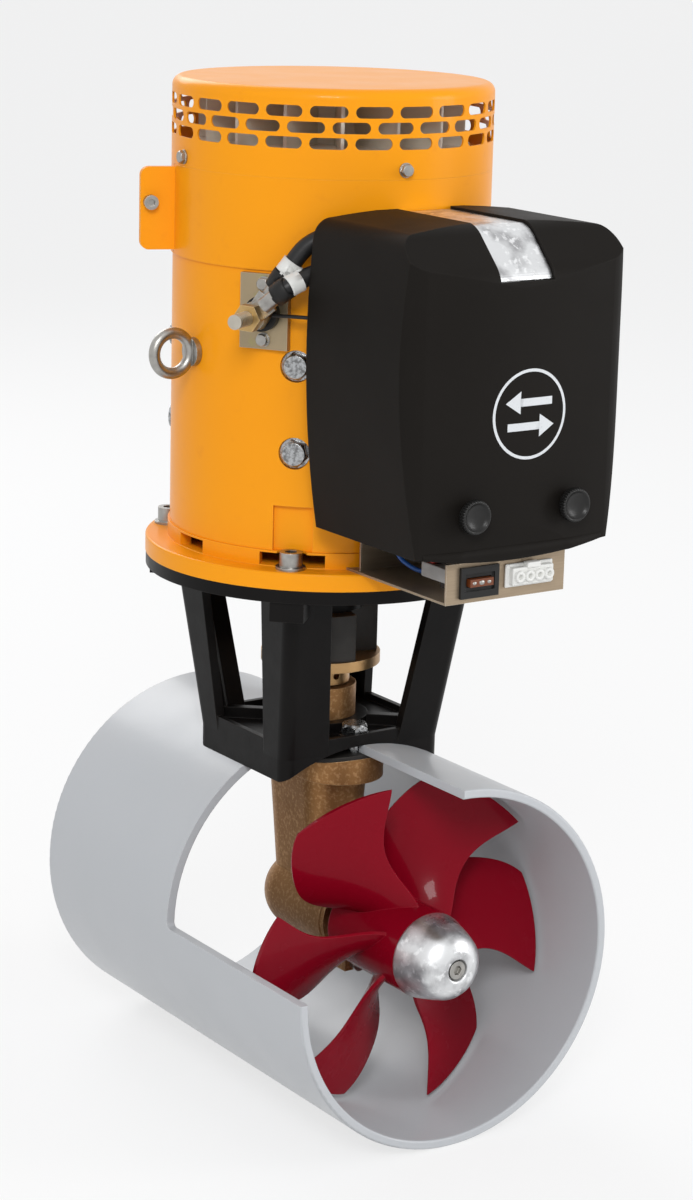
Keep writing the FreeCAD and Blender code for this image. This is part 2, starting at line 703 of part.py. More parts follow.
def make_coupling_flange():
    plate = disc(COUPLING_DISC_R, COUPLING_DISC_BOTTOM, COUPLING_DISC_TOP)
    hub = disc(COUPLING_HUB_R, COUPLING_HUB_BOTTOM, COUPLING_DISC_BOTTOM)
    screw_z = (COUPLING_HUB_BOTTOM + COUPLING_DISC_BOTTOM) / 2 - 1
    screw = Part.makeCylinder(2.5, 12, Vector(0, -COUPLING_HUB_R - 1, screw_z), Vector(0, 1, 0))
    return drilled(fused([plate, hub]),
                   [disc(DRIVE_SHAFT_R, COUPLING_HUB_BOTTOM - 1, COUPLING_DISC_TOP + 1), screw])


def jaw(angle):
    """One drive block of the coupling."""
    piece = block(17, JAW_R, -13, 13, COUPLING_DISC_TOP, JAW_TOP)
    piece = piece.common(disc(JAW_R, COUPLING_DISC_TOP, JAW_TOP))
    return turned(piece, angle)


def make_coupling_element():
    core = disc(20, COUPLING_DISC_TOP, JAW_TOP)
    pieces = [core] + [jaw(JAW_ANGLE + 90 * step) for step in range(4)]
    return fused(pieces).cut(disc(MOTOR_SHAFT_R, COUPLING_DISC_TOP - 1, JAW_TOP + 1))


def make_coupling_driver():
    hub = disc(30, JAW_TOP, DRIVER_TOP)
    return hub.cut(disc(MOTOR_SHAFT_R, JAW_TOP - 1, DRIVER_TOP + 1))


def make_drive_shaft():
    return disc(DRIVE_SHAFT_R, DRIVE_SHAFT_BOTTOM, DRIVE_SHAFT_TOP)


def make_motor_shaft():
    return disc(MOTOR_SHAFT_R, MOTOR_SHAFT_BOTTOM, MOTOR_SHAFT_TOP)


# ---------------------------------------------------------------- motor

def shield_gap(angle, width):
    """Opening low in the end shield that lets cooling air out."""
    gap = block(SHIELD_R - 14, SHIELD_R + 2, -width / 2, width / 2, FLANGE_TOP + 0.5, SHIELD_TOP - 1.5)
    return turned(gap, angle)


def make_motor_flange():
    plate = disc(FLANGE_R, RING_TOP, FLANGE_TOP)
    plate = plate.makeFillet(1.5, edges_where(plate,
                              lambda edge: len(edge.Vertexes) == 1 and edge.CenterOfMass.z > RING_TOP + 1))
    wall = tube(SHIELD_R, SHIELD_R - 9, FLANGE_TOP, SHIELD_TOP)
    boss = disc(MOTOR_BEARING_R + 8, RING_TOP, LOWER_MOTOR_BEARING_Z + MOTOR_BEARING_HEIGHT)
    shield = fused([plate, wall, boss])
    cuts = [disc(MOTOR_SHAFT_R + 2, RING_TOP - 1, SHIELD_TOP),
            disc(MOTOR_BEARING_R, LOWER_MOTOR_BEARING_Z, SHIELD_TOP + 1)]
    cuts += [disc(FLANGE_BOLT_R + HOLE_PLAY, RING_TOP - 1, SHIELD_TOP + 1,
                  polar(FLANGE_BOLT_CIRCLE, angle).x, polar(FLANGE_BOLT_CIRCLE, angle).y)
             for angle in flange_bolt_angles()]
    cuts += [disc(11.0, FLANGE_TOP, SHIELD_TOP + 1, polar(FLANGE_BOLT_CIRCLE, angle).x,
                  polar(FLANGE_BOLT_CIRCLE, angle).y) for angle in flange_bolt_angles()]
    cuts += [shield_gap(angle, 46.0) for angle in flange_bolt_angles()]
    cuts += [shield_gap(angle, 30.0) for angle in (0, 180, 270, 90)]
    return drilled(shield, cuts)


def make_flange_bolts():
    bolt = socket_screw(FLANGE_BOLT_R, FLANGE_BOLT_HEAD_R, 10.0, FLANGE_TOP - RING_BOTTOM + BOSS_DEPTH - 2,
                        2.0)
    return [placed(bolt, polar(FLANGE_BOLT_CIRCLE, angle, FLANGE_TOP),
                   Vector(0, 0, 1)) for angle in flange_bolt_angles()]


def make_motor_body():
    pads = [rod(TRAY_PAD_R, UPRIGHT_Y + TRAY_SHEET, 2 - BODY_R, 0, level) for level in TRAY_SCREW_LEVELS]
    body = fused([disc(BODY_R, SHIELD_TOP, BODY_TOP)] + pads)
    cuts = [disc(BODY_R - BODY_WALL, SHIELD_TOP - 1, BODY_TOP + 1)]
    for angle in flange_bolt_angles():
        for level in POLE_BOLT_LEVELS:
            cuts.append(placed(disc(POLE_COUNTERBORE_R, 0, 12), polar(BODY_R - 4, angle, level),
                               polar(1, angle)))
            cuts.append(placed(disc(POLE_BOLT_R + HOLE_PLAY, 0, 12), polar(BODY_R - 12, angle, level),
                               polar(1, angle)))
        relief = block(RELIEF_R, BODY_R + 5, -RELIEF_HALF, RELIEF_HALF, SHIELD_TOP - 1, RELIEF_TOP)
        cuts.append(turned(relief, angle))
    cuts.append(placed(disc(4, 0, 14), polar(BODY_R - 12, EYE_ANGLE, EYE_Z), polar(1, EYE_ANGLE)))
    for angle in (0, 90, 180, 270):
        window = block(BODY_R - 12, BODY_R + 1, -26, 26, BAND_BOTTOM + BRUSH_WINDOW_MARGIN, BODY_TOP - 8)
        cuts.append(turned(window, angle + 45))
    cuts.append(placed(disc(TERMINAL_STUD_R + 3, 0, 14), polar(BODY_R - 12, TERMINAL_ANGLE, TERMINAL_Z),
                       polar(1, TERMINAL_ANGLE)))
    cuts += [placed(disc(2.5, 0, 14), terminal_screw_point(level, BODY_R - 12),
                    polar(1, TERMINAL_ANGLE)) for level in (-1, 1)]
    cuts += [rod(3.0, UPRIGHT_Y - 1, UPRIGHT_Y + 14, 0, level) for level in TRAY_SCREW_LEVELS]
    return drilled(body, cuts)


def make_pole_shoes():
    shoes = []
    for angle in flange_bolt_angles():
        shoe = tube(BODY_R - BODY_WALL, POLE_R, POLE_BOTTOM, POLE_TOP)
        wedge = Part.makeCylinder(BODY_R, POLE_TOP - POLE_BOTTOM, Vector(0, 0, POLE_BOTTOM),
                                  Vector(0, 0, 1), 44)
        face = tube(POLE_R + 6, POLE_R, POLE_BOTTOM, POLE_TOP)
        face_wedge = Part.makeCylinder(BODY_R, POLE_TOP - POLE_BOTTOM, Vector(0, 0, POLE_BOTTOM),
                                       Vector(0, 0, 1), 2 * POLE_HALF_ANGLE)
        core = shoe.common(turned(wedge, angle - 22))
        shoe = fused([core, face.common(turned(face_wedge, angle - POLE_HALF_ANGLE))])
        holes = [placed(disc(POLE_BOLT_R, 0, 24), polar(BODY_R - 30, angle, level),
                        polar(1, angle)) for level in POLE_BOLT_LEVELS]
        shoes.append(drilled(shoe, holes))
    return shoes


def make_field_coils():
    """One copper coil around the core of each pole."""
    coils = []
    for angle in flange_bolt_angles():
        shell = tube(BODY_R - BODY_WALL - 2, POLE_R + 8, POLE_BOTTOM - 12, POLE_TOP + 12)
        height = POLE_TOP - POLE_BOTTOM
        outer = Part.makeCylinder(BODY_R, height + 24, Vector(0, 0, POLE_BOTTOM - 12), Vector(0, 0, 1), 70)
        inner = Part.makeCylinder(BODY_R, height + 1, Vector(0, 0, POLE_BOTTOM - 0.5), Vector(0, 0, 1), 45)
        coil = shell.common(turned(outer, angle - 35)).cut(turned(inner, angle - 22.5))
        coils.append(coil)
    return coils


def make_pole_bolts():
    bolts = []
    bolt = hex_bolt(POLE_BOLT_R, POLE_BOLT_ACROSS, 6.5, 20, 0.8)
    for angle in flange_bolt_angles():
        for level in POLE_BOLT_LEVELS:
            bolts.append(placed(bolt, polar(BODY_R - 4, angle, level), polar(1, angle)))
    return bolts


def make_upper_end_shield():
    plate = disc(BODY_R, BODY_TOP, BODY_TOP + 10)
    spigot = tube(BODY_R - BODY_WALL, BODY_R - BODY_WALL - 5, BODY_TOP - 6, BODY_TOP)
    boss = disc(MOTOR_BEARING_R + 6, BODY_TOP + 8, UPPER_MOTOR_BEARING_Z + MOTOR_BEARING_HEIGHT)
    collar = tube(BAND_R - CAP_WALL, BAND_R - CAP_WALL - 10, BODY_TOP + 9, BODY_TOP + 24)
    shield = fused([plate, spigot, boss, collar])
    holes = [placed(disc(2.5, 0, 12), polar(BAND_R - 12, angle, CAP_SCREW_Z), polar(1, angle))
             for angle in cap_screw_angles()]
    vents = [turned(block(50, 92, -12, 12, BODY_TOP - 1, BODY_TOP + 11),
                    30 + 60 * step) for step in range(6)]
    return drilled(shield, vents + holes + [disc(MOTOR_SHAFT_R + 2, BODY_TOP - 2, CAP_TOP),
                                    disc(MOTOR_BEARING_R, UPPER_MOTOR_BEARING_Z, CAP_TOP)])


def make_motor_bearings():
    bearing = ball_bearing(MOTOR_BEARING_R, MOTOR_SHAFT_R + RUNNING, MOTOR_BEARING_HEIGHT)
    levels = (LOWER_MOTOR_BEARING_Z, UPPER_MOTOR_BEARING_Z)
    return [placed(bearing, Vector(0, 0, level), Vector(0, 0, 1)) for level in levels]


def make_armature():
    core = tube(ARMATURE_R, MOTOR_SHAFT_R, POLE_BOTTOM - 4, POLE_TOP + 4)
    slot = block(ARMATURE_R - 10, ARMATURE_R + 1, -1.5, 1.5, POLE_BOTTOM - 5, POLE_TOP + 5)
    core = drilled(core, [turned(slot, step * 15) for step in range(24)])
    lower = tube(ARMATURE_R - 14, MOTOR_SHAFT_R + 6, POLE_BOTTOM - 26, POLE_BOTTOM - 4)
    upper = tube(ARMATURE_R - 14, MOTOR_SHAFT_R + 6, POLE_TOP + 4, COMMUTATOR_BOTTOM)
    return [core, lower, upper]


def make_commutator():
    drum = tube(COMMUTATOR_R, MOTOR_SHAFT_R, COMMUTATOR_BOTTOM, COMMUTATOR_TOP)
    slit = block(COMMUTATOR_R - 3, COMMUTATOR_R + 1, -0.4, 0.4, COMMUTATOR_BOTTOM + 6, COMMUTATOR_TOP + 1)
    return [drilled(drum, [turned(slit, step * 15) for step in range(24)])]


def brush_angles():
    return [45 + 90 * step for step in range(4)]


def make_brush_holders():
    holders = []
    for angle in brush_angles():
        body = block(COMMUTATOR_R + 3, COMMUTATOR_R + 30, -15, 15, BRUSH_BOTTOM - HOLDER_EDGE,
                     BRUSH_TOP + HOLDER_EDGE)
        post = block(COMMUTATOR_R + 20, COMMUTATOR_R + 30, -8, 8, BRUSH_TOP + HOLDER_EDGE, BODY_TOP)
        holder = fused([body, post]).cut(block(COMMUTATOR_R, COMMUTATOR_R + 26, -11, 11, BRUSH_BOTTOM,
                                               BRUSH_TOP))
        holders.append(turned(holder, angle))
    return holders


def make_brushes():
    brush = block(COMMUTATOR_R - 2, COMMUTATOR_R + 24, -11, 11, BRUSH_BOTTOM, BRUSH_TOP)
    brush = brush.cut(disc(COMMUTATOR_R + RUNNING, COMMUTATOR_BOTTOM, COMMUTATOR_TOP))
    return [turned(brush, angle) for angle in brush_angles()]


def make_fan():
    hub = tube(34, MOTOR_SHAFT_R, FAN_BOTTOM, FAN_TOP)
    plate = tube(FAN_R, 33, FAN_BOTTOM, FAN_BOTTOM + 2.5)
    vane = block(32, FAN_R - 2, -1.2, 1.2, FAN_BOTTOM + 2, FAN_TOP)
    return [fused([hub, plate] + [turned(vane, step * 24) for step in range(15)])]


def make_cover_band():
    band = tube(BAND_R, BODY_R, BAND_BOTTOM, BAND_TOP)
    tab = block(BODY_R - 1, BAND_R + BAND_TAB, -2.6, 2.6, BAND_BOTTOM + 3, BAND_TOP - 2)

    def outer_corner(edge):
        return abs(edge.tangentAt(0).y) > 0.9 and edge.CenterOfMass.x > BAND_R + 1

    tab = tab.makeFillet(6.0, edges_where(tab, outer_corner))
    band = fused([band, turned(tab, BAND_TAB_ANGLE)])
    gap = turned(block(BODY_R - 2, BAND_R + BAND_TAB + 1, -0.6, 0.6, BAND_BOTTOM - 1, BAND_TOP + 1),
                 BAND_TAB_ANGLE)
    hole = placed(disc(3, -12, 12), polar(BAND_R + BAND_TAB * 0.72, BAND_TAB_ANGLE,
                                          (BAND_BOTTOM + BAND_TOP) / 2 + 5),
                  polar(1, BAND_TAB_ANGLE + 90))
    return drilled(band, [gap, hole, disc(BODY_R, BAND_BOTTOM - 1, BAND_TOP + 1)])


def make_band_screw():
    screw = socket_screw(3.0, 5.0, 6.0, 10.0)
    seat = polar(BAND_R + BAND_TAB * 0.72, BAND_TAB_ANGLE, (BAND_BOTTOM + BAND_TOP) / 2 + 5)
    outward = polar(1, BAND_TAB_ANGLE + 90)
    return [placed(screw, seat + outward * 2.6, outward)]


def slot_cutter(angle, level):
    """Obround slot across the wall of the cap."""
    half = SLOT_LENGTH / 2 - SLOT_HEIGHT / 2
    a = Vector(BODY_R - 8, -half, level + SLOT_HEIGHT / 2)
    b = Vector(BODY_R - 8, half, level + SLOT_HEIGHT / 2)
    c = Vector(BODY_R - 8, half, level - SLOT_HEIGHT / 2)
    d = Vector(BODY_R - 8, -half, level - SLOT_HEIGHT / 2)
    right = Vector(BODY_R - 8, half + SLOT_HEIGHT / 2, level)
    left = Vector(BODY_R - 8, -half - SLOT_HEIGHT / 2, level)
    face = closed([line(a, b), arc(b, right, c), line(c, d), arc(d, left, a)])
    return turned(face.extrude(Vector(16, 0, 0)), angle)


def cap_screw_angles():
    return [CAP_SCREW_ANGLE + 90 * step for step in range(4)]


def make_fan_cover():
    outer = disc(BAND_R, BAND_TOP, CAP_TOP)
    outer = outer.makeFillet(CAP_FILLET, edges_where(outer,
                                     lambda edge: len(edge.Vertexes) == 1 and edge.CenterOfMass.z > BAND_TOP + 1))
    inner_r = BAND_R - CAP_WALL
    inner = disc(inner_r, BAND_TOP - 1, CAP_TOP - CAP_WALL)
    inner = inner.makeFillet(CAP_FILLET - CAP_WALL,
                             edges_where(inner,
                         lambda edge: len(edge.Vertexes) == 1 and edge.CenterOfMass.z > BAND_TOP + 1))
    cap = outer.cut(inner)
    step = 360.0 / SLOT_COUNT
    slots = []
    for row, level in enumerate(SLOT_LEVELS):
        shift = step / 2 if row == 1 else 0.0
        slots += [slot_cutter(SLOT_START + shift + step * index, level) for index in range(SLOT_COUNT)]
    holes = [placed(disc(2.5, 0, 12), polar(BAND_R - 6, angle, CAP_SCREW_Z),
                    polar(1, angle)) for angle in cap_screw_angles()]
    return drilled(cap, slots + holes)


def make_cap_screws():
    screw = hex_bolt(2.5, 8.0, 3.5, 8.0, 1.0)
    return [placed(screw, polar(BAND_R, angle, CAP_SCREW_Z),
                   polar(1, angle)) for angle in cap_screw_angles()]


def make_lifting_eye():
    centre = polar(BODY_R + EYE_R, EYE_ANGLE, EYE_Z)
    section = (EYE_R - EYE_HOLE_R) / 2
    loop = Part.makeTorus(EYE_R - section, section, centre, Vector(0, 1, 0))
    collar = placed(disc(10, 0, 4), polar(BODY_R, EYE_ANGLE, EYE_Z), polar(1, EYE_ANGLE))
    shank = placed(disc(4, -10, 3), polar(BODY_R, EYE_ANGLE, EYE_Z), polar(1, EYE_ANGLE))
    return [fused([loop, collar, shank])]


# ---------------------------------------------------------------- terminal and cables

def terminal_screw_point(side, radius):
    middle = (TERMINAL_PLATE_BOTTOM + TERMINAL_PLATE_TOP) / 2
    return polar(radius, TERMINAL_ANGLE, middle + side * 19.0)


def make_terminal_plate():
    pad = block(BODY_R - 4, TERMINAL_PLATE_R + 2, -TERMINAL_PLATE_WIDTH / 2, TERMINAL_PLATE_WIDTH / 2,
                TERMINAL_PLATE_BOTTOM, TERMINAL_PLATE_TOP)
    pad = turned(pad, TERMINAL_ANGLE).cut(disc(BODY_R, TERMINAL_PLATE_BOTTOM - 1, TERMINAL_PLATE_TOP + 1))
    cuts = [placed(disc(TERMINAL_STUD_R + 3, 0, 20), polar(BODY_R - 5, TERMINAL_ANGLE, TERMINAL_Z),
                   polar(1, TERMINAL_ANGLE))]
    cuts += [placed(disc(2.5, 0, 20), terminal_screw_point(side, BODY_R - 5),
                    polar(1, TERMINAL_ANGLE)) for side in (-1, 1)]
    return drilled(pad, cuts)


def make_terminal_screws():
    screw = hex_bolt(2.5, 8.0, 3.5, 12.0, 1.0)
    return [placed(screw, terminal_screw_point(side, TERMINAL_PLATE_R + 2),
                   polar(1, TERMINAL_ANGLE)) for side in (-1, 1)]


def on_stud(radius, start, end):
    return placed(disc(radius, 0, end - start), polar(start, TERMINAL_ANGLE, TERMINAL_Z),
                  polar(1, TERMINAL_ANGLE))


def make_terminal_insulator():
    plate_face = TERMINAL_PLATE_R + 2
    bush = fused([on_stud(TERMINAL_STUD_R + 3, BODY_R - BODY_WALL, plate_face),
                  on_stud(12, plate_face, plate_face + 6)])
    return [bush.cut(on_stud(TERMINAL_STUD_R, BODY_R - 20, plate_face + 10))]


def make_terminal_stud():
    return [on_stud(TERMINAL_STUD_R, BODY_R - BODY_WALL - 1.5, TERMINAL_STUD_END)]


def nut_on_stud(start, across, height):
    body = placed(hexagon(across, height), polar(start, TERMINAL_ANGLE, TERMINAL_Z),
                  polar(1, TERMINAL_ANGLE))
    return body.cut(on_stud(TERMINAL_STUD_R, start - 5, start + height + 5))


SENSE_LUG = TERMINAL_PLATE_R + 8.0
SENSE_LUG_THICK = 3.0
INNER_NUT = SENSE_LUG + SENSE_LUG_THICK
INNER_NUT_HEIGHT = 6.0
LUG_THICK = 3.0
LUG_ONE = INNER_NUT + INNER_NUT_HEIGHT
LUG_TWO = LUG_ONE + LUG_THICK
OUTER_NUT = LUG_TWO + LUG_THICK


def make_terminal_nuts():
    return [nut_on_stud(INNER_NUT, 17.0, INNER_NUT_HEIGHT), nut_on_stud(OUTER_NUT, 17.0, 8.0)]


def stud_frame(along, up, radius):
    """Point beside the stud, this far along the tangent towards the box and up."""
    out = polar(1, TERMINAL_ANGLE)
    tangent = Vector(-out.y, out.x, 0)
    return out * radius + tangent * along + Vector(0, 0, TERMINAL_Z + up)


def cable_lug(start, lean, side):
    """Crimped lug on the stud, its barrel set to one side and leaning up by so many degrees."""
    out = polar(1, TERMINAL_ANGLE)
    tangent = Vector(-out.y, out.x, 0)
    turn = math.radians(lean)
    way = tangent * math.cos(turn) + Vector(0, 0, math.sin(turn))
    eye = on_stud(9.5, start, start + LUG_THICK)
    centre = polar(start + LUG_THICK / 2, TERMINAL_ANGLE, TERMINAL_Z)
    across = out.cross(way) * 6.5
    low = centre + out * (-LUG_THICK / 2)
    tongue = Part.Face(polygon([low - across, low - across + way * 17, low + across + way * 17,
                                low + across]))
    tongue = tongue.extrude(out * LUG_THICK)
    barrel_start = centre + way * 13 + out * (side * (BARREL_R - LUG_THICK / 2))
    barrel = placed(disc(BARREL_R, 0, BARREL_LENGTH), barrel_start, way)
    hole = on_stud(TERMINAL_STUD_R, start - 5, start + 10)
    return fused([eye, tongue, barrel]).cut(hole), barrel_start + way * BARREL_LENGTH, way




# start on the stud, lean and side of the two cable lugs
LUGS = ((LUG_ONE, 56.0, -1), (LUG_TWO, 40.0, 1))


def make_cable_lugs():
    small = on_stud(8.0, SENSE_LUG, INNER_NUT).cut(on_stud(TERMINAL_STUD_R, SENSE_LUG - 1, INNER_NUT + 1))
    return [cable_lug(*lug)[0] for lug in LUGS] + [small]


def cord(points, radius, name):
    """Tube along straight runs joined by tangent arcs as large as the runs allow."""
    edges = []
    start = points[0]
    length = 0.0
    radii = []
    for index in range(1, len(points) - 1):
        before = points[index] - points[index - 1]
        after = points[index + 1] - points[index]
        turn = before.getAngle(after)
        trim = 0.45 * min(before.Length, after.Length)
        bend = trim / math.tan(turn / 2)
        radii.append(round(bend, 1))
        entry = points[index] - before.normalize() * trim
        leave = points[index] + after.normalize() * trim
        outward = (entry + leave) * 0.5 - points[index]
        reach = math.hypot(bend, trim) - bend
        middle = points[index] + outward.normalize() * reach
        edges.append(line(start, entry))
        edges.append(arc(entry, middle, leave))
        length += (entry - start).Length + bend * turn
        start = leave
    edges.append(line(start, points[-1]))
    length += (points[-1] - start).Length
    path = Part.Wire(edges)
    way = points[1] - points[0]
    ring = Part.Wire([Part.makeCircle(radius, points[0], way)])
    body = path.makePipeShell([ring], True, False)
    print(name, "length", round(length, 1), "radii", radii, "volume share",
          round(body.Volume / (math.pi * radius * radius * length), 4))
    return body


def power_route(index):
    end, way = cable_lug(*LUGS[index])[1:]
    if index == 0:
        rest = [Vector(-80, -95, 504), Vector(-57, -110, 509), Vector(-38, -132, 500),
                Vector(-32, -154, 482),
                Vector(-32, -154, CONTACTOR_TOP + 16)]
    else:
        rest = [Vector(-83, -100, 481), Vector(-62, -108, 489), Vector(-38, -119, 490),
                Vector(-16, -130, 479),
                Vector(-16, -130, CONTACTOR_TOP + 16)]
    return [end, end + way * 9] + rest


def make_power_cables():
    return [cord(power_route(index), CABLE_R, "power_cable_%d" % (index + 1)) for index in range(2)]


def make_sense_wire():
    start = stud_frame(8.1, 0, SENSE_LUG + SENSE_LUG_THICK / 2)
    points = [start, Vector(-84, -93, 452), Vector(-68, -108, 451), Vector(-57, -124, 442),
              Vector(-55, -138, 433), Vector(-43, -138, 433)]
    return [cord(points, WIRE_R, "sense_wire")]


# ---------------------------------------------------------------- control box

def cover_front_outline(inset):
    """Front view of the cover: bowed sides, crowned top, open below."""
    y = COVER_FRONT - 5
    bottom = COVER_BOTTOM - (1 if inset else 0)
    half_low = COVER_HALF_BOTTOM - inset
    half_mid = COVER_HALF_MIDDLE - inset
    half_top = COVER_HALF_TOP - inset
    top = COVER_TOP - inset
    corner = COVER_CORNER - inset
    shoulder = top - 4 - corner
    slant = corner * (1 - math.sqrt(0.5))

    def side(sign):
        low = Vector(sign * half_low, y, bottom)
        mid = Vector(sign * half_mid, y, COVER_BOTTOM + (shoulder - COVER_BOTTOM) * 0.62)
        high = Vector(sign * half_top, y, shoulder)
        bend = Vector(sign * (half_top - slant), y, top - 4 - slant)
        crown = Vector(sign * (half_top - corner), y, top - 4)
        return low, mid, high, bend, crown

    right = side(1)
    left = side(-1)
    face = closed([line(left[0], right[0]), arc(right[0], right[1], right[2]),
                   arc(right[2], right[3], right[4]),
                   arc(right[4], Vector(0, y, top), left[4]), arc(left[4], left[3], left[2]), arc(left[2],
                                                                                left[1], left[0])])
    return face.extrude(Vector(0, COVER_BACK - COVER_FRONT + 5 + (5 if inset else 0), 0))


def cover_plan_outline(inset):
    """Plan of the cover: bowed front with round corners."""
    z = COVER_BOTTOM - 10
    half = COVER_HALF_MIDDLE + 5
    front = COVER_FRONT + inset
    side_front = COVER_FRONT + 26
    a = Vector(half, COVER_BACK + 10, z)
    b = Vector(half, side_front, z)
    c = Vector(COVER_HALF_MIDDLE - 14, COVER_FRONT + 6 + inset, z)
    bend = Vector(COVER_HALF_MIDDLE - 3 - inset, COVER_FRONT + 12, z)
    d = Vector(-c.x, c.y, z)
    e = Vector(-half, side_front, z)
    f = Vector(-half, COVER_BACK + 10, z)
    bend_left = Vector(-bend.x, bend.y, z)
    face = closed([line(a, b), arc(b, bend, c), arc(c, Vector(0, front, z), d), arc(d, bend_left, e),
                   line(e, f), line(f, a)])
    return face.extrude(Vector(0, 0, COVER_TOP - COVER_BOTTOM + 20))


def cover_side_outline(inset):
    """Side view of the cover: flat top, long bevel, upright front."""
    x = -COVER_HALF_MIDDLE - 10
    low = COVER_BOTTOM - 20
    top = COVER_TOP - inset
    front = COVER_FRONT + inset
    bevel_top = COVER_FRONT + COVER_BEVEL + inset * 0.5
    drop = top - COVER_BEVEL_DROP
    a = Vector(x, COVER_BACK + 10, low)
    b = Vector(x, COVER_BACK + 10, top)
    c = Vector(x, bevel_top + 8, top)
    c_mid = Vector(x, bevel_top - 2, top - 2.5)
    d = Vector(x, bevel_top - 9, top - 8)
    e = Vector(x, front + 7, drop + 6)
    e_mid = Vector(x, front + 2.0, drop - 1)
    f = Vector(x, front, drop - 9)
    g = Vector(x, front, COVER_BOTTOM + 16)
    h = Vector(x, front + 5, low)
    face = closed([line(a, b), line(b, c), arc(c, c_mid, d), line(d, e), arc(e, e_mid, f), line(f, g),
                   line(g, h), line(h, a)])
    return face.extrude(Vector(2 * COVER_HALF_MIDDLE + 20, 0, 0))


def cover_form(inset):
    return cover_front_outline(inset).common(cover_plan_outline(inset)).common(cover_side_outline(inset))


def channel_strip(half):
    return block(-half, half, COVER_FRONT - 10, COVER_BACK + 10, CHANNEL_LOW, COVER_TOP + 10)


def make_cover():
    strip = channel_strip(CHANNEL_HALF)
    wide = channel_strip(CHANNEL_HALF + COVER_WALL)
    outside = cover_form(0.0).cut(strip).fuse(cover_form(CHANNEL_DEPTH).common(strip))
    inside = cover_form(COVER_WALL).cut(wide).fuse(cover_form(CHANNEL_DEPTH + COVER_WALL).common(wide))
    shell = outside.cut(inside).cut(block(-200, 200, COVER_BACK, COVER_BACK + 50, 0, 900))
    holes = [rod(5.0, COVER_FRONT - 10, COVER_FRONT + 30, side * KNOB_X, KNOB_Z) for side in (-1, 1)]
    holes.append(disc(BAND_R + COVER_GAP, COVER_BOTTOM - 1, COVER_TOP + 1))
    return drilled(shell, holes).removeSplitter()


def make_cover_plate():
    strip = block(-CHANNEL_HALF + LOOSE, CHANNEL_HALF - LOOSE, COVER_FRONT - 10, COVER_BACK - 2,
                  CHANNEL_LOW + LOOSE, COVER_TOP + 10)
    plate = cover_form(CHANNEL_DEPTH - PLATE_THICK).cut(cover_form(CHANNEL_DEPTH)).common(strip)
    return plate.cut(disc(BAND_R + COVER_GAP, COVER_BOTTOM, COVER_TOP + 1))


def cover_face_at(x):
    """How far out the bowed front stands at this x."""
    chord = COVER_HALF_MIDDLE - 14
    sag = 6.0
    radius = (chord * chord + sag * sag) / (2 * sag)
    return COVER_FRONT + radius - math.sqrt(radius * radius - x * x)


def make_knob(side):
    seat = cover_face_at(KNOB_X - KNOB_R) - LOOSE
    head = rod(KNOB_R, KNOB_FRONT, seat)
    head = head.makeFillet(1.5, edges_where(head,
                            lambda edge: len(edge.Vertexes) == 1 and edge.CenterOfMass.y < KNOB_FRONT + 1))
    dish = Part.makeSphere(18.0, Vector(0, KNOB_FRONT - 16.0, 0))
    shank = rod(4.5, seat - 1, seat + 8)
    groove = Part.makeCylinder(1.0, 20, Vector(KNOB_R + 0.4, KNOB_FRONT + 2, 0), Vector(0, 1, 0))
    knob = fused([head, shank])
    knob = drilled(knob, [dish,
                          rod(STUD_R + 0.2, KNOB_FRONT + 5,
                              seat + 10)] + [spun(groove, step * 30) for step in range(12)])
    knob.translate(Vector(side * KNOB_X, 0, KNOB_Z))
    return knob


def make_tray():
    sheet = TRAY_SHEET
    floor = block(-TRAY_HALF, TRAY_HALF, TRAY_FRONT, -96, FLANGE_TOP, FLANGE_TOP + sheet)
    lip = block(-TRAY_HALF, TRAY_HALF, TRAY_FRONT, TRAY_FRONT + sheet, FLANGE_TOP, TRAY_LIP_TOP)
    wing = block(TRAY_HALF - sheet, TRAY_HALF, TRAY_FRONT, -135, FLANGE_TOP, TRAY_LIP_TOP)
    upright = block(-UPRIGHT_HALF, UPRIGHT_HALF, UPRIGHT_Y, UPRIGHT_Y + sheet, FLANGE_TOP, UPRIGHT_TOP)
    tray = fused([floor, lip, wing, upright])
    cuts = [disc(SHIELD_R + 0.5, FLANGE_TOP - 1, SHIELD_TOP + 0.5), fuse_window(), connector_window()]
    cuts += [rod(3.0, UPRIGHT_Y - 1, UPRIGHT_Y + 5, 0, level) for level in TRAY_SCREW_LEVELS]
    cuts += [rod(STUD_R, UPRIGHT_Y - 1, UPRIGHT_Y + 5, side * KNOB_X, KNOB_Z) for side in (-1, 1)]
    return drilled(tray, cuts)


def fuse_window():
    return block(FUSE_X - 13, FUSE_X + 13, TRAY_FRONT - 1, TRAY_FRONT + 3, FUSE_Z - 8, FUSE_Z + 8)


def connector_window():
    return block(CONNECTOR_X - 17, CONNECTOR_X + 17, TRAY_FRONT - 1, TRAY_FRONT + 3, CONNECTOR_Z - 6,
                 CONNECTOR_Z + 6)


def make_tray_screws():
    screw = hex_bolt(3.0, 10.0, 4.0, 11.0, 1.2)
    return [placed(screw, Vector(0, UPRIGHT_Y, level), Vector(0, -1, 0)) for level in TRAY_SCREW_LEVELS]


def make_cover_studs():
    return [rod(STUD_R, KNOB_FRONT + 6, UPRIGHT_Y + TRAY_SHEET, side * KNOB_X, KNOB_Z) for side in (-1, 1)]


def make_contactors():
    """Two motor contactors on the upright plate, with their terminal studs."""
    pieces = []
    for side in (-1, 1):
        case = block(side * 24 - 19, side * 24 + 19, -170, UPRIGHT_Y, CONTACTOR_BOTTOM, CONTACTOR_TOP)
        case = case.makeFillet(3.0, edges_where(case, lambda edge: abs(edge.tangentAt(0).z) > 0.9))
        studs = [disc(4.0, CONTACTOR_TOP - 1, CONTACTOR_TOP + 16, side * 24 + shift, y)
                 for shift, y in ((-8, -154), (8, -130))]
        pieces.append(fused([case] + studs))
    return pieces


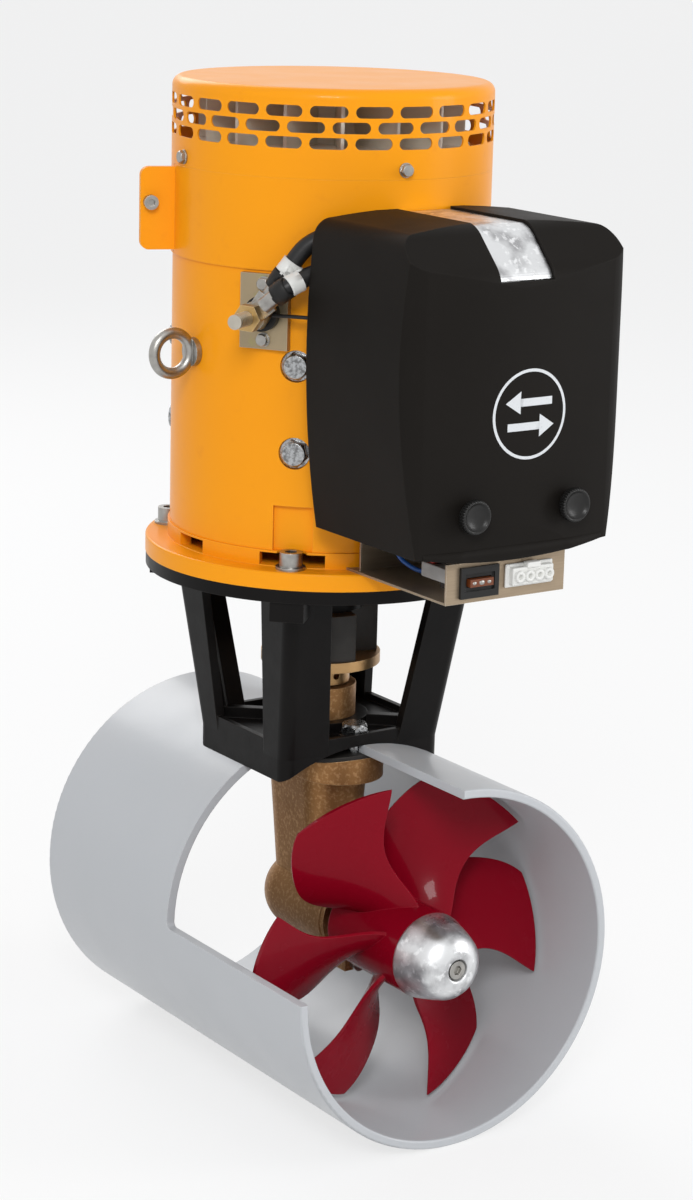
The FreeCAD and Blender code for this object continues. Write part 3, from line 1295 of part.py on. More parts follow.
def make_fuse_holder():
    face = block(FUSE_X - 15.5, FUSE_X + 15.5, TRAY_FRONT - 2.5, TRAY_FRONT, FUSE_Z - 10.5, FUSE_Z + 10.5)
    body = block(FUSE_X - 13, FUSE_X + 13, TRAY_FRONT, TRAY_FRONT + 24, FUSE_Z - 8, FUSE_Z + 8)
    pocket = block(FUSE_X - 10.2, FUSE_X + 10.2, TRAY_FRONT - 3, TRAY_FRONT + 14, FUSE_Z - 3.2,
                   FUSE_Z + 3.2)
    mouth = block(FUSE_X - 12, FUSE_X + 12, TRAY_FRONT - 3, TRAY_FRONT - 1, FUSE_Z - 6, FUSE_Z + 6)
    return drilled(fused([face, body]), [pocket, mouth])


def make_blade_fuse():
    body = block(FUSE_X - 9.5, FUSE_X + 9.5, TRAY_FRONT - 4.5, TRAY_FRONT + 5, FUSE_Z - 2.6, FUSE_Z + 2.6)
    blades = [block(x - 2.6, x + 2.6, TRAY_FRONT + 5, TRAY_FRONT + 13, FUSE_Z - 0.4,
                    FUSE_Z + 0.4) for x in (FUSE_X - 6, FUSE_X + 6)]
    return [fused([body] + blades)]


def make_connector():
    body = block(CONNECTOR_X - 17, CONNECTOR_X + 17, TRAY_FRONT - 9, TRAY_FRONT + 16, CONNECTOR_Z - 6,
                 CONNECTOR_Z + 6)
    flange = block(CONNECTOR_X - 19.5, CONNECTOR_X + 19.5, TRAY_FRONT - 2, TRAY_FRONT, CONNECTOR_Z - 8,
                   CONNECTOR_Z + 8)
    pockets = [rod(2.9, TRAY_FRONT - 10, TRAY_FRONT - 1, CONNECTOR_X - 12 + 8 * step,
                   CONNECTOR_Z) for step in range(4)]
    return drilled(fused([body, flange]), pockets)


def make_blue_wire():
    points = [Vector(-33, -140, CONTACTOR_BOTTOM), Vector(-33, -140, 352), Vector(-36, -137, 318),
              Vector(-37, -142, 294), Vector(-30, -160, 285), Vector(FUSE_X, -178, FUSE_Z - 2),
              Vector(FUSE_X, TRAY_FRONT + 24, FUSE_Z - 2)]
    return [cord(points, 1.6, "blue_wire")]


# ---------------------------------------------------------------- output

def solids_of(result):
    if isinstance(result, (list, tuple)):
        return [solid for shape in result for solid in shape.Solids]
    return result.Solids


def save(name, result):
    solids = solids_of(result)
    shape = solids[0] if len(solids) == 1 else Part.makeCompound(solids)
    shape.exportStep("parts/%s.step" % name)
    good = all(solid.isValid() for solid in solids)
    print("%-22s solids %2d  volume %10.1f  valid %s" % (name, len(solids), shape.Volume, good))


NODES = {
    "tunnel": make_tunnel,
    "bracket_frame": make_bracket,
    "leg_gasket": make_leg_gasket,
    "gear_leg": make_gear_leg,
    "bearing_carrier": make_bearing_carrier,
    "base_bolts": make_base_bolts,
    "carrier_screw": make_carrier_screw,
    "leg_bearings": make_leg_bearings,
    "prop_bearings": make_prop_bearings,
    "shaft_seals": make_shaft_seals,
    "drive_pinion": make_pinion,
    "crown_gear": make_crown_gear,
    "propeller": make_propeller,
    "prop_shaft": make_prop_shaft,
    "drive_pin": make_drive_pin,
    "nose_cone": make_nose_cone,
    "nose_screw": make_nose_screw,
    "coupling_flange": make_coupling_flange,
    "coupling_element": make_coupling_element,
    "coupling_driver": make_coupling_driver,
    "drive_shaft": make_drive_shaft,
    "motor_shaft": make_motor_shaft,
    "motor_flange": make_motor_flange,
    "flange_bolts": make_flange_bolts,
    "motor_body": make_motor_body,
    "pole_shoes": make_pole_shoes,
    "field_coils": make_field_coils,
    "pole_bolts": make_pole_bolts,
    "upper_end_shield": make_upper_end_shield,
    "motor_bearings": make_motor_bearings,
    "armature": make_armature,
    "commutator": make_commutator,
    "brush_holders": make_brush_holders,
    "brushes": make_brushes,
    "fan": make_fan,
    "cover_band": make_cover_band,
    "band_screw": make_band_screw,
    "fan_cover": make_fan_cover,
    "cap_screws": make_cap_screws,
    "lifting_eye": make_lifting_eye,
    "terminal_plate": make_terminal_plate,
    "terminal_screws": make_terminal_screws,
    "terminal_insulator": make_terminal_insulator,
    "terminal_stud": make_terminal_stud,
    "terminal_nuts": make_terminal_nuts,
    "cable_lugs": make_cable_lugs,
    "power_cables": make_power_cables,
    "sense_wire": make_sense_wire,
    "blue_wire": make_blue_wire,
    "control_cover": make_cover,
    "cover_plate": make_cover_plate,
    "knob_left": lambda: make_knob(-1),
    "knob_right": lambda: make_knob(1),
    "control_tray": make_tray,
    "tray_screws": make_tray_screws,
    "cover_studs": make_cover_studs,
    "contactors": make_contactors,
    "fuse_holder": make_fuse_holder,
    "blade_fuse": make_blade_fuse,
    "control_connector": make_connector,
}


def main():
    os.makedirs("parts", exist_ok=True)
    for name, maker in NODES.items():
        save(name, maker())


main()
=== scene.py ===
import math

import bmesh
import bpy
from mathutils import Matrix, Vector
from mathutils.bvhtree import BVHTree


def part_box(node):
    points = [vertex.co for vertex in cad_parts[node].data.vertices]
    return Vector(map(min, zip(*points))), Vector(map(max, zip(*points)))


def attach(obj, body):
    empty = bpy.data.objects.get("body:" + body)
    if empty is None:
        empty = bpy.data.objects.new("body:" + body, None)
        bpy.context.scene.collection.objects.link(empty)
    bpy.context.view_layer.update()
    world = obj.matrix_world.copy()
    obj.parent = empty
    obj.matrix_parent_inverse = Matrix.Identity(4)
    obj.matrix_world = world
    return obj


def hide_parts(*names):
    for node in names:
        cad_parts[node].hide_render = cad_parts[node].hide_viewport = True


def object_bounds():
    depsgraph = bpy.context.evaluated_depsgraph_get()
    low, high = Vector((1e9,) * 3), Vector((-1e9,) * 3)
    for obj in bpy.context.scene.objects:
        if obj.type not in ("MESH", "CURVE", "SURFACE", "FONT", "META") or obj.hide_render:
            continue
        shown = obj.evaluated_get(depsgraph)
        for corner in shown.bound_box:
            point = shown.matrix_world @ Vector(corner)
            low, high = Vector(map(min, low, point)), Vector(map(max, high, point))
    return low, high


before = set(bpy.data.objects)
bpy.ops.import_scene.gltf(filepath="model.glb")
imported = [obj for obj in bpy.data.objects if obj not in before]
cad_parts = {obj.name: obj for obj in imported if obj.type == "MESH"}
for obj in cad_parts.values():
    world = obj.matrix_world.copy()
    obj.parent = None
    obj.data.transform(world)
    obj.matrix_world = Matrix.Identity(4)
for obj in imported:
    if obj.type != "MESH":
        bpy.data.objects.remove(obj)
cad_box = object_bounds()

MM = 0.001
FLOOR_HALF = 60.0
FLOOR_GLOW = 0.72
WORLD_LIGHT = 0.62
STUD_TURN = 146.3
KNOB_RIM = 11.6
KNOB_RIBS = 36
KNOB_RIB_DEPTH = 0.9
SOCKET_PITCH = 8.0
PRINT_MIDDLE = (5.0, 402.0)
PRINT_R = 30.0
INK_LIFT = 0.12
ARROW_STEPS = 8
RAY_START = -0.5
SKIRT_DROP = 6.5
SKIRT_LAP = 4.0
SKIRT_FOOT = 1.2
SKIRT_HALF = 74.0
SKIRT_STEPS = 60
SKIRT_PROUD = 0.12


# ---------------------------------------------------------------- camera, light and floor

def make_camera():
    """Long lens from the front left, a little above the motor flange."""
    azimuth = math.radians(-34.52)
    elevation = math.radians(14.15)
    roll = math.radians(1.48)
    distance = 2.1219
    target = Vector((-0.0012, -0.0335, 0.2340))
    back = Vector((math.sin(azimuth) * math.cos(elevation), -math.cos(azimuth) * math.cos(elevation),
                   math.sin(elevation)))
    right = Vector((math.cos(azimuth), math.sin(azimuth), 0.0))
    up = back.cross(right)
    rolled_right = right * math.cos(roll) + up * math.sin(roll)
    rolled_up = up * math.cos(roll) - right * math.sin(roll)
    turn = Matrix((rolled_right, rolled_up, back)).transposed().to_4x4()
    data = bpy.data.cameras.new("camera")
    data.lens = 88.76
    data.sensor_width = 36.0
    data.clip_start = 0.05
    data.clip_end = 50.0
    camera = bpy.data.objects.new("camera", data)
    camera.matrix_world = Matrix.Translation(target + back * distance) @ turn
    bpy.context.scene.collection.objects.link(camera)
    bpy.context.scene.camera = camera


def area_light(name, place, aim, size, power):
    data = bpy.data.lights.new(name, "AREA")
    data.shape = "RECTANGLE"
    data.size = size[0]
    data.size_y = size[1]
    data.energy = power
    lamp = bpy.data.objects.new(name, data)
    lamp.location = place
    lamp.rotation_euler = (Vector(aim) - Vector(place)).to_track_quat("-Z", "Y").to_euler()
    bpy.context.scene.collection.objects.link(lamp)


def make_world():
    """Even grey light on the object, white where a camera or a mirror looks past it."""
    world = bpy.data.worlds.new("studio")
    bpy.context.scene.world = world
    world.use_nodes = True
    tree = world.node_tree
    tree.nodes.clear()
    path = tree.nodes.new("ShaderNodeLightPath")
    seen = tree.nodes.new("ShaderNodeMath")
    seen.operation = "MAXIMUM"
    glow = tree.nodes.new("ShaderNodeBackground")
    glow.inputs["Color"].default_value = (1.0, 1.0, 1.0, 1.0)
    glow.inputs["Strength"].default_value = 1.0
    light = tree.nodes.new("ShaderNodeBackground")
    light.inputs["Color"].default_value = (0.97, 0.98, 1.0, 1.0)
    light.inputs["Strength"].default_value = WORLD_LIGHT
    mirrored = tree.nodes.new("ShaderNodeMath")
    mirrored.operation = "MAXIMUM"
    blend = tree.nodes.new("ShaderNodeMixShader")
    out = tree.nodes.new("ShaderNodeOutputWorld")
    tree.links.new(path.outputs["Is Camera Ray"], seen.inputs[0])
    tree.links.new(path.outputs["Is Transmission Ray"], seen.inputs[1])
    tree.links.new(seen.outputs[0], mirrored.inputs[0])
    tree.links.new(path.outputs["Is Glossy Ray"], mirrored.inputs[1])
    tree.links.new(mirrored.outputs[0], blend.inputs[0])
    tree.links.new(light.outputs[0], blend.inputs[1])
    tree.links.new(glow.outputs[0], blend.inputs[2])
    tree.links.new(blend.outputs[0], out.inputs[0])


def make_floor():
    """Pale floor that stays near white where the camera sees it and keeps a soft shadow."""
    low = cad_box[0][2]
    half = FLOOR_HALF
    corners = [(-half, -half, low), (half, -half, low), (half, half, low), (-half, half, low)]
    mesh = bpy.data.meshes.new("floor")
    mesh.from_pydata(corners, [], [(0, 1, 2, 3)])
    floor = bpy.data.objects.new("floor", mesh)
    bpy.context.scene.collection.objects.link(floor)
    material = bpy.data.materials.new("floor")
    material.use_nodes = True
    tree = material.node_tree
    matte = tree.nodes["Principled BSDF"]
    matte.inputs["Base Color"].default_value = (0.82, 0.82, 0.82, 1.0)
    matte.inputs["Roughness"].default_value = 0.8
    glow = tree.nodes.new("ShaderNodeEmission")
    glow.inputs["Strength"].default_value = 1.0
    path = tree.nodes.new("ShaderNodeLightPath")
    seen = tree.nodes.new("ShaderNodeMath")
    seen.operation = "MAXIMUM"
    share = tree.nodes.new("ShaderNodeMath")
    share.operation = "MULTIPLY"
    share.inputs[1].default_value = FLOOR_GLOW
    blend = tree.nodes.new("ShaderNodeMixShader")
    tree.links.new(path.outputs["Is Camera Ray"], seen.inputs[0])
    tree.links.new(path.outputs["Is Glossy Ray"], seen.inputs[1])
    tree.links.new(seen.outputs[0], share.inputs[0])
    tree.links.new(share.outputs[0], blend.inputs[0])
    tree.links.new(matte.outputs[0], blend.inputs[1])
    tree.links.new(glow.outputs[0], blend.inputs[2])
    tree.links.new(blend.outputs[0], tree.nodes["Material Output"].inputs["Surface"])
    mesh.materials.append(material)


# ---------------------------------------------------------------- material tools

class Finish:
    """A procedural finish built around one Principled shader."""

    def __init__(self, name, color, roughness, metallic=0.0, coat=0.0, coat_roughness=0.1, specular=0.5):
        self.material = bpy.data.materials.new(name)
        self.material.use_nodes = True
        self.tree = self.material.node_tree
        self.shader = self.tree.nodes["Principled BSDF"]
        self.place = self.tree.nodes.new("ShaderNodeTexCoord").outputs["Object"]
        self.shader.inputs["Base Color"].default_value = (*color, 1.0)
        self.shader.inputs["Roughness"].default_value = roughness
        self.shader.inputs["Metallic"].default_value = metallic
        self.shader.inputs["Coat Weight"].default_value = coat
        self.shader.inputs["Coat Roughness"].default_value = coat_roughness
        self.shader.inputs["Specular IOR Level"].default_value = specular
        self.color = None
        self.heights = []

    def node(self, kind, **inputs):
        made = self.tree.nodes.new(kind)
        for key, value in inputs.items():
            made.inputs[key.replace("_", " ")].default_value = value
        return made

    def stretched(self, scale, turn=(0.0, 0.0, 0.0)):
        """Object coordinates turned and scaled along each axis."""
        mapping = self.node("ShaderNodeMapping", Scale=scale, Rotation=turn)
        self.tree.links.new(self.place, mapping.inputs["Vector"])
        return mapping.outputs["Vector"]

    def noise(self, scale, detail=3.0, vector=None):
        made = self.node("ShaderNodeTexNoise", Scale=scale, Detail=detail)
        self.tree.links.new(vector or self.place, made.inputs["Vector"])
        return made.outputs["Fac"]

    def cells(self, scale):
        made = self.node("ShaderNodeTexVoronoi", Scale=scale)
        self.tree.links.new(self.place, made.inputs["Vector"])
        return made.outputs["Distance"]

    def bands(self, scale, direction="Z", vector=None):
        made = self.node("ShaderNodeTexWave", Scale=scale, Distortion=0.0)
        made.bands_direction = direction
        self.tree.links.new(vector or self.place, made.inputs["Vector"])
        return made.outputs["Fac"]

    def between(self, factor, low, high):
        """Factor stretched so that low becomes 0 and high becomes 1."""
        made = self.tree.nodes.new("ShaderNodeMapRange")
        made.inputs["From Min"].default_value = low
        made.inputs["From Max"].default_value = high
        self.tree.links.new(factor, made.inputs["Value"])
        return made.outputs["Result"]

    def edges(self, radius=0.0008, low=0.02, high=0.25):
        """Bright near sharp edges of the mesh."""
        soft = self.tree.nodes.new("ShaderNodeBevel")
        soft.samples = 4
        soft.inputs["Radius"].default_value = radius
        hard = self.tree.nodes.new("ShaderNodeNewGeometry")
        dot = self.tree.nodes.new("ShaderNodeVectorMath")
        dot.operation = "DOT_PRODUCT"
        self.tree.links.new(soft.outputs[0], dot.inputs[0])
        self.tree.links.new(hard.outputs["Normal"], dot.inputs[1])
        return self.between(dot.outputs["Value"], 1.0 - low, 1.0 - high)

    def tint(self, factor, color, strength=1.0):
        """Lay another colour over the finish where the factor is high."""
        blend = self.tree.nodes.new("ShaderNodeMix")
        blend.data_type = "RGBA"
        scale = self.tree.nodes.new("ShaderNodeMath")
        scale.operation = "MULTIPLY"
        scale.use_clamp = True
        scale.inputs[1].default_value = strength
        self.tree.links.new(factor, scale.inputs[0])
        self.tree.links.new(scale.outputs[0], blend.inputs[0])
        if self.color is None:
            blend.inputs[6].default_value = self.shader.inputs["Base Color"].default_value[:]
        else:
            self.tree.links.new(self.color, blend.inputs[6])
        blend.inputs[7].default_value = (*color, 1.0)
        self.color = blend.outputs[2]
        return self

    def polish(self, factor, low, high):
        """Roughness between two values along the factor."""
        made = self.tree.nodes.new("ShaderNodeMapRange")
        made.inputs["To Min"].default_value = low
        made.inputs["To Max"].default_value = high
        self.tree.links.new(factor, made.inputs["Value"])
        self.tree.links.new(made.outputs["Result"], self.shader.inputs["Roughness"])
        return self

    def raise_by(self, factor, distance, strength=1.0):
        self.heights.append((factor, distance, strength))
        return self

    def done(self, edge_radius=0.0005):
        if self.color is not None:
            self.tree.links.new(self.color, self.shader.inputs["Base Color"])
        soft = self.tree.nodes.new("ShaderNodeBevel")
        soft.samples = 4
        soft.inputs["Radius"].default_value = edge_radius
        normal = soft.outputs[0]
        for factor, distance, strength in self.heights:
            bump = self.node("ShaderNodeBump", Distance=distance, Strength=strength)
            self.tree.links.new(factor, bump.inputs["Height"])
            self.tree.links.new(normal, bump.inputs["Normal"])
            normal = bump.outputs[0]
        self.tree.links.new(normal, self.shader.inputs["Normal"])
        return self.material


# ---------------------------------------------------------------- finishes

def orange_paint():
    """Gloss coat over steel: faint orange peel, faint darker patches, paler edges that are a painted
    highlight.
    """
    finish = Finish("orange_paint", (0.92, 0.345, 0.006), 0.3, coat=0.10, coat_roughness=0.08,
                    specular=0.08)
    finish.tint(finish.noise(9.0, 5.0), (0.86, 0.29, 0.010), 0.5)
    finish.tint(finish.between(finish.noise(60.0, 6.0), 0.62, 0.75), (0.80, 0.27, 0.012), 0.35)
    # Painted highlight: edges painted a paler orange.
    finish.tint(finish.edges(), (0.98, 0.47, 0.06), 0.6)
    finish.polish(finish.noise(25.0, 4.0), 0.24, 0.40)
    finish.raise_by(finish.noise(420.0, 2.0), 0.00010, 0.35)
    return finish.done(0.0006)


def black_cast():
    """Satin black over a cast skin."""
    finish = Finish("black_cast", (0.0035, 0.003, 0.003), 0.36, specular=0.11)
    finish.tint(finish.noise(40.0, 6.0), (0.0075, 0.0065, 0.006), 0.8)
    # Painted highlight: edges of the black casting painted grey.
    finish.tint(finish.edges(0.0010), (0.05, 0.046, 0.042), 0.6)
    finish.polish(finish.noise(70.0, 5.0), 0.26, 0.5)
    finish.raise_by(finish.noise(900.0, 3.0), 0.00012, 0.45)
    finish.raise_by(finish.noise(90.0, 4.0), 0.0004, 0.25)
    return finish.done(0.0009)


def tunnel_laminate():
    """Grey gelcoat laminate, smooth and lightly mottled."""
    finish = Finish("tunnel_laminate", (0.47, 0.48, 0.50), 0.33, coat=0.1, coat_roughness=0.15,
                    specular=0.35)
    finish.tint(finish.noise(14.0, 5.0), (0.42, 0.44, 0.46), 0.7)
    finish.tint(finish.between(finish.cells(260.0), 0.0, 0.18), (0.52, 0.54, 0.56), 0.35)
    finish.tint(finish.edges(0.0012), (0.70, 0.72, 0.74), 0.8)
    finish.polish(finish.noise(30.0, 5.0), 0.26, 0.42)
    finish.raise_by(finish.noise(120.0, 3.0), 0.00025, 0.25)
    finish.raise_by(finish.noise(1100.0, 2.0), 0.00005, 0.3)
    return finish.done(0.0010)


def cast_bronze():
    """Sand cast bronze with brown patches."""
    finish = Finish("cast_bronze", (0.40, 0.21, 0.085), 0.5, metallic=0.8, specular=0.1)
    finish.tint(finish.noise(22.0, 6.0), (0.22, 0.105, 0.038), 0.8)
    finish.tint(finish.between(finish.noise(400.0, 5.0), 0.5, 0.65), (0.54, 0.32, 0.15), 0.7)
    finish.tint(finish.edges(0.0010), (0.75, 0.55, 0.32), 0.7)
    finish.polish(finish.noise(60.0, 6.0), 0.34, 0.6)
    finish.raise_by(finish.noise(800.0, 4.0), 0.0003, 0.75)
    finish.raise_by(finish.noise(60.0, 3.0), 0.0006, 0.25)
    return finish.done(0.0008)


def turned_bronze():
    """Bronze off the lathe, fine rings round the shaft."""
    finish = Finish("turned_bronze", (0.56, 0.36, 0.17), 0.34, metallic=0.95)
    finish.tint(finish.noise(30.0, 5.0), (0.36, 0.20, 0.08), 0.8)
    finish.tint(finish.edges(0.0008), (0.82, 0.62, 0.36), 0.8)
    finish.polish(finish.noise(50.0, 5.0), 0.28, 0.48)
    finish.raise_by(finish.bands(700.0, "Z"), 0.00006, 0.5)
    return finish.done(0.0006)


def crimson_gloss():
    """Deep red polished moulding of the propeller."""
    finish = Finish("crimson_gloss", (0.235, 0.0015, 0.011), 0.2, coat=0.12, coat_roughness=0.04,
                    specular=0.05)
    finish.tint(finish.noise(12.0, 4.0), (0.18, 0.0010, 0.008), 0.6)
    finish.tint(finish.edges(0.0010), (0.45, 0.03, 0.05), 0.5)
    finish.polish(finish.noise(40.0, 5.0), 0.18, 0.34)
    finish.raise_by(finish.noise(90.0, 3.0), 0.00030, 0.22)
    finish.raise_by(finish.noise(900.0, 2.0), 0.00004, 0.3)
    return finish.done(0.0010)


def zinc_cast():
    """Dull silver anode with turning rings and oxide bloom."""
    finish = Finish("zinc_cast", (0.72, 0.73, 0.74), 0.36, metallic=0.95)
    finish.tint(finish.between(finish.noise(60.0, 6.0), 0.46, 0.66), (0.36, 0.36, 0.37), 0.9)
    finish.tint(finish.between(finish.noise(190.0, 6.0), 0.56, 0.66), (0.93, 0.94, 0.95), 0.8)
    finish.polish(finish.noise(55.0, 5.0), 0.12, 0.55)
    finish.raise_by(finish.bands(360.0, "Y"), 0.00006, 0.5)
    finish.raise_by(finish.noise(500.0, 4.0), 0.00010, 0.5)
    return finish.done(0.0008)


def plated_steel():
    """Bright zinc plated fasteners with grey patches."""
    finish = Finish("plated_steel", (0.50, 0.49, 0.46), 0.3, metallic=1.0)
    finish.tint(finish.noise(180.0, 5.0), (0.22, 0.21, 0.20), 1.0)
    finish.tint(finish.edges(0.0004), (0.85, 0.84, 0.80), 0.8)
    finish.polish(finish.noise(300.0, 4.0), 0.22, 0.48)
    finish.raise_by(finish.noise(1200.0, 3.0), 0.00005, 0.6)
    return finish.done(0.0003)


def forged_steel():
    """Darker bolt heads, scaly, with bright edges that are a painted highlight."""
    finish = Finish("forged_steel", (0.44, 0.45, 0.46), 0.3, metallic=1.0)
    finish.tint(finish.between(finish.noise(420.0, 6.0), 0.42, 0.62), (0.15, 0.15, 0.15), 0.9)
    # Painted highlight: edges of the bolt heads painted bright.
    finish.tint(finish.edges(0.0006), (0.75, 0.74, 0.70), 0.9)
    finish.polish(finish.noise(260.0, 4.0), 0.14, 0.4)
    finish.raise_by(finish.noise(600.0, 3.0), 0.0002, 0.6)
    return finish.done(0.0003)


def yellow_brass():
    """Yellow chromate nuts."""
    finish = Finish("yellow_brass", (0.66, 0.44, 0.18), 0.3, metallic=1.0)
    finish.tint(finish.noise(150.0, 5.0), (0.36, 0.24, 0.11), 0.9)
    finish.tint(finish.edges(0.0005), (0.92, 0.78, 0.50), 0.9)
    finish.polish(finish.noise(260.0, 4.0), 0.2, 0.45)
    finish.raise_by(finish.noise(900.0, 3.0), 0.00006, 0.6)
    return finish.done(0.0003)


def threaded_steel(name, color, direction, turn=(0.0, 0.0, 0.0)):
    """Plated steel with a thread cut along one direction."""
    finish = Finish(name, color, 0.32, metallic=1.0)
    vector = finish.stretched((1.0, 1.0, 1.0), turn=turn)
    finish.tint(finish.noise(150.0, 4.0), tuple(part * 0.6 for part in color), 0.8)
    finish.polish(finish.noise(300.0, 4.0), 0.25, 0.45)
    finish.raise_by(finish.bands(105.0, direction, vector), 0.0008, 1.0)
    return finish.done(0.0003)


def passivated_steel():
    """Sheet with a pale yellow passivate, brushed along its length."""
    finish = Finish("passivated_steel", (0.40, 0.31, 0.19), 0.4, metallic=0.75, specular=0.2)
    finish.tint(finish.noise(90.0, 5.0), (0.30, 0.25, 0.17), 0.8)
    finish.tint(finish.between(finish.noise(60.0, 4.0), 0.54, 0.66), (0.36, 0.36, 0.12), 0.6)
    finish.tint(finish.edges(0.0005), (0.80, 0.74, 0.60), 0.7)
    finish.polish(finish.noise(900.0, 3.0, finish.stretched((0.05, 1.0, 1.0))), 0.30, 0.50)
    finish.raise_by(finish.noise(1500.0, 2.0, finish.stretched((0.04, 1.0, 1.0))), 0.00004, 0.6)
    return finish.done(0.0003)


def brushed_sheet():
    """Bare bent sheet of the tray, long brush strokes."""
    finish = Finish("brushed_sheet", (0.36, 0.28, 0.195), 0.4, metallic=0.7, specular=0.15)
    finish.tint(finish.noise(900.0, 3.0, finish.stretched((0.03, 0.05, 1.0))), (0.20, 0.15, 0.10), 0.9)
    finish.tint(finish.noise(18.0, 4.0), (0.46, 0.37, 0.27), 0.5)
    finish.tint(finish.edges(0.0005), (0.86, 0.80, 0.70), 0.8)
    finish.polish(finish.noise(400.0, 4.0, finish.stretched((0.05, 0.05, 1.0))), 0.32, 0.55)
    finish.raise_by(finish.noise(1800.0, 2.0, finish.stretched((0.03, 0.03, 1.0))), 0.00004, 0.7)
    return finish.done(0.0003)


def ground_steel():
    finish = Finish("ground_steel", (0.52, 0.52, 0.52), 0.28, metallic=1.0)
    finish.tint(finish.noise(60.0, 5.0), (0.36, 0.36, 0.37), 0.8)
    finish.polish(finish.noise(200.0, 4.0), 0.2, 0.4)
    finish.raise_by(finish.bands(900.0, "Z"), 0.00004, 0.5)
    return finish.done(0.0004)


def laminated_iron():
    """Stacked iron sheets of the poles and armature."""
    finish = Finish("laminated_iron", (0.13, 0.13, 0.14), 0.5, metallic=0.7)
    finish.tint(finish.noise(50.0, 5.0), (0.08, 0.07, 0.07), 0.8)
    finish.raise_by(finish.bands(600.0, "Z"), 0.00015, 0.8)
    return finish.done(0.0004)


def wound_copper():
    """Varnished copper turns."""
    finish = Finish("wound_copper", (0.60, 0.24, 0.10), 0.34, metallic=0.8, coat=0.3)
    finish.tint(finish.noise(60.0, 4.0), (0.36, 0.12, 0.05), 0.8)
    finish.raise_by(finish.bands(260.0, "Z"), 0.0004, 0.8)
    return finish.done(0.0004)


def cover_plastic():
    """Matte black moulding with a fine spark-eroded grain."""
    finish = Finish("cover_plastic", (0.0078, 0.0066, 0.0055), 0.42, specular=0.06)
    finish.tint(finish.noise(8.0, 4.0), (0.0145, 0.0125, 0.011), 0.8)
    finish.tint(finish.edges(0.0014), (0.036, 0.033, 0.03), 0.6)
    finish.polish(finish.noise(24.0, 5.0), 0.44, 0.6)
    finish.raise_by(finish.noise(1600.0, 3.0), 0.00008, 0.7)
    return finish.done(0.0014)


def black_moulding(name="black_moulding", roughness=0.4):
    finish = Finish(name, (0.009, 0.009, 0.009), roughness, specular=0.25)
    finish.tint(finish.noise(120.0, 4.0), (0.024, 0.023, 0.022), 0.7)
    finish.tint(finish.edges(0.0005), (0.07, 0.07, 0.07), 0.6)
    finish.polish(finish.noise(260.0, 3.0), roughness - 0.08, roughness + 0.12)
    finish.raise_by(finish.noise(1300.0, 2.0), 0.00005, 0.5)
    return finish.done(0.0005)


def coupling_rubber():
    """Black coupling block, slightly chalky with moulding flow marks."""
    finish = Finish("coupling_rubber", (0.012, 0.011, 0.010), 0.48, specular=0.3)
    finish.tint(finish.noise(60.0, 6.0), (0.05, 0.045, 0.04), 0.6)
    finish.tint(finish.edges(0.0010), (0.10, 0.09, 0.08), 0.6)
    finish.polish(finish.noise(80.0, 5.0), 0.36, 0.66)
    finish.raise_by(finish.noise(260.0, 4.0), 0.0003, 0.4)
    return finish.done(0.0010)


def fan_plastic():
    # Painted light: base colour set paler than the plastic's own grey, so the vanes in shade behind the
    # cap's slots read bright.
    finish = Finish("fan_plastic", (0.78, 0.75, 0.66), 0.5)
    finish.tint(finish.noise(25.0, 5.0), (0.62, 0.59, 0.50), 0.8)
    finish.polish(finish.noise(60.0, 4.0), 0.4, 0.62)
    finish.raise_by(finish.noise(700.0, 3.0), 0.00006, 0.5)
    return finish.done(0.0006)


def white_moulding():
    finish = Finish("white_moulding", (0.74, 0.74, 0.71), 0.42)
    finish.tint(finish.noise(200.0, 4.0), (0.62, 0.62, 0.60), 0.6)
    finish.tint(finish.edges(0.0004), (0.86, 0.86, 0.84), 0.6)
    finish.raise_by(finish.noise(1500.0, 2.0), 0.00004, 0.5)
    return finish.done(0.0004)


def fuse_plastic():
    finish = Finish("fuse_plastic", (0.16, 0.040, 0.010), 0.2, coat=0.3, specular=0.3)
    finish.tint(finish.noise(250.0, 3.0), (0.13, 0.035, 0.012), 0.7)
    finish.raise_by(finish.noise(800.0, 2.0), 0.00004, 0.4)
    return finish.done(0.0004)


def cable_jacket():
    """Thick black insulation with a soft sheen."""
    finish = Finish("cable_jacket", (0.008, 0.008, 0.009), 0.38, specular=0.3)
    finish.tint(finish.noise(110.0, 4.0), (0.024, 0.023, 0.022), 0.6)
    finish.polish(finish.noise(150.0, 4.0), 0.3, 0.5)
    finish.raise_by(finish.noise(400.0, 3.0), 0.00012, 0.4)
    return finish.done(0.0004)


def blue_insulation():
    finish = Finish("blue_insulation", (0.012, 0.09, 0.36), 0.36)
    finish.tint(finish.noise(200.0, 3.0), (0.008, 0.06, 0.26), 0.7)
    finish.raise_by(finish.noise(600.0, 2.0), 0.00005, 0.4)
    return finish.done(0.0003)


def carbon():
    finish = Finish("carbon", (0.03, 0.03, 0.032), 0.6, metallic=0.2)
    finish.tint(finish.noise(300.0, 4.0), (0.06, 0.06, 0.06), 0.6)
    finish.raise_by(finish.noise(900.0, 3.0), 0.00008, 0.6)
    return finish.done(0.0004)


def assign(material, *nodes):
    for name in nodes:
        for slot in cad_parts[name].material_slots:
            slot.material = material


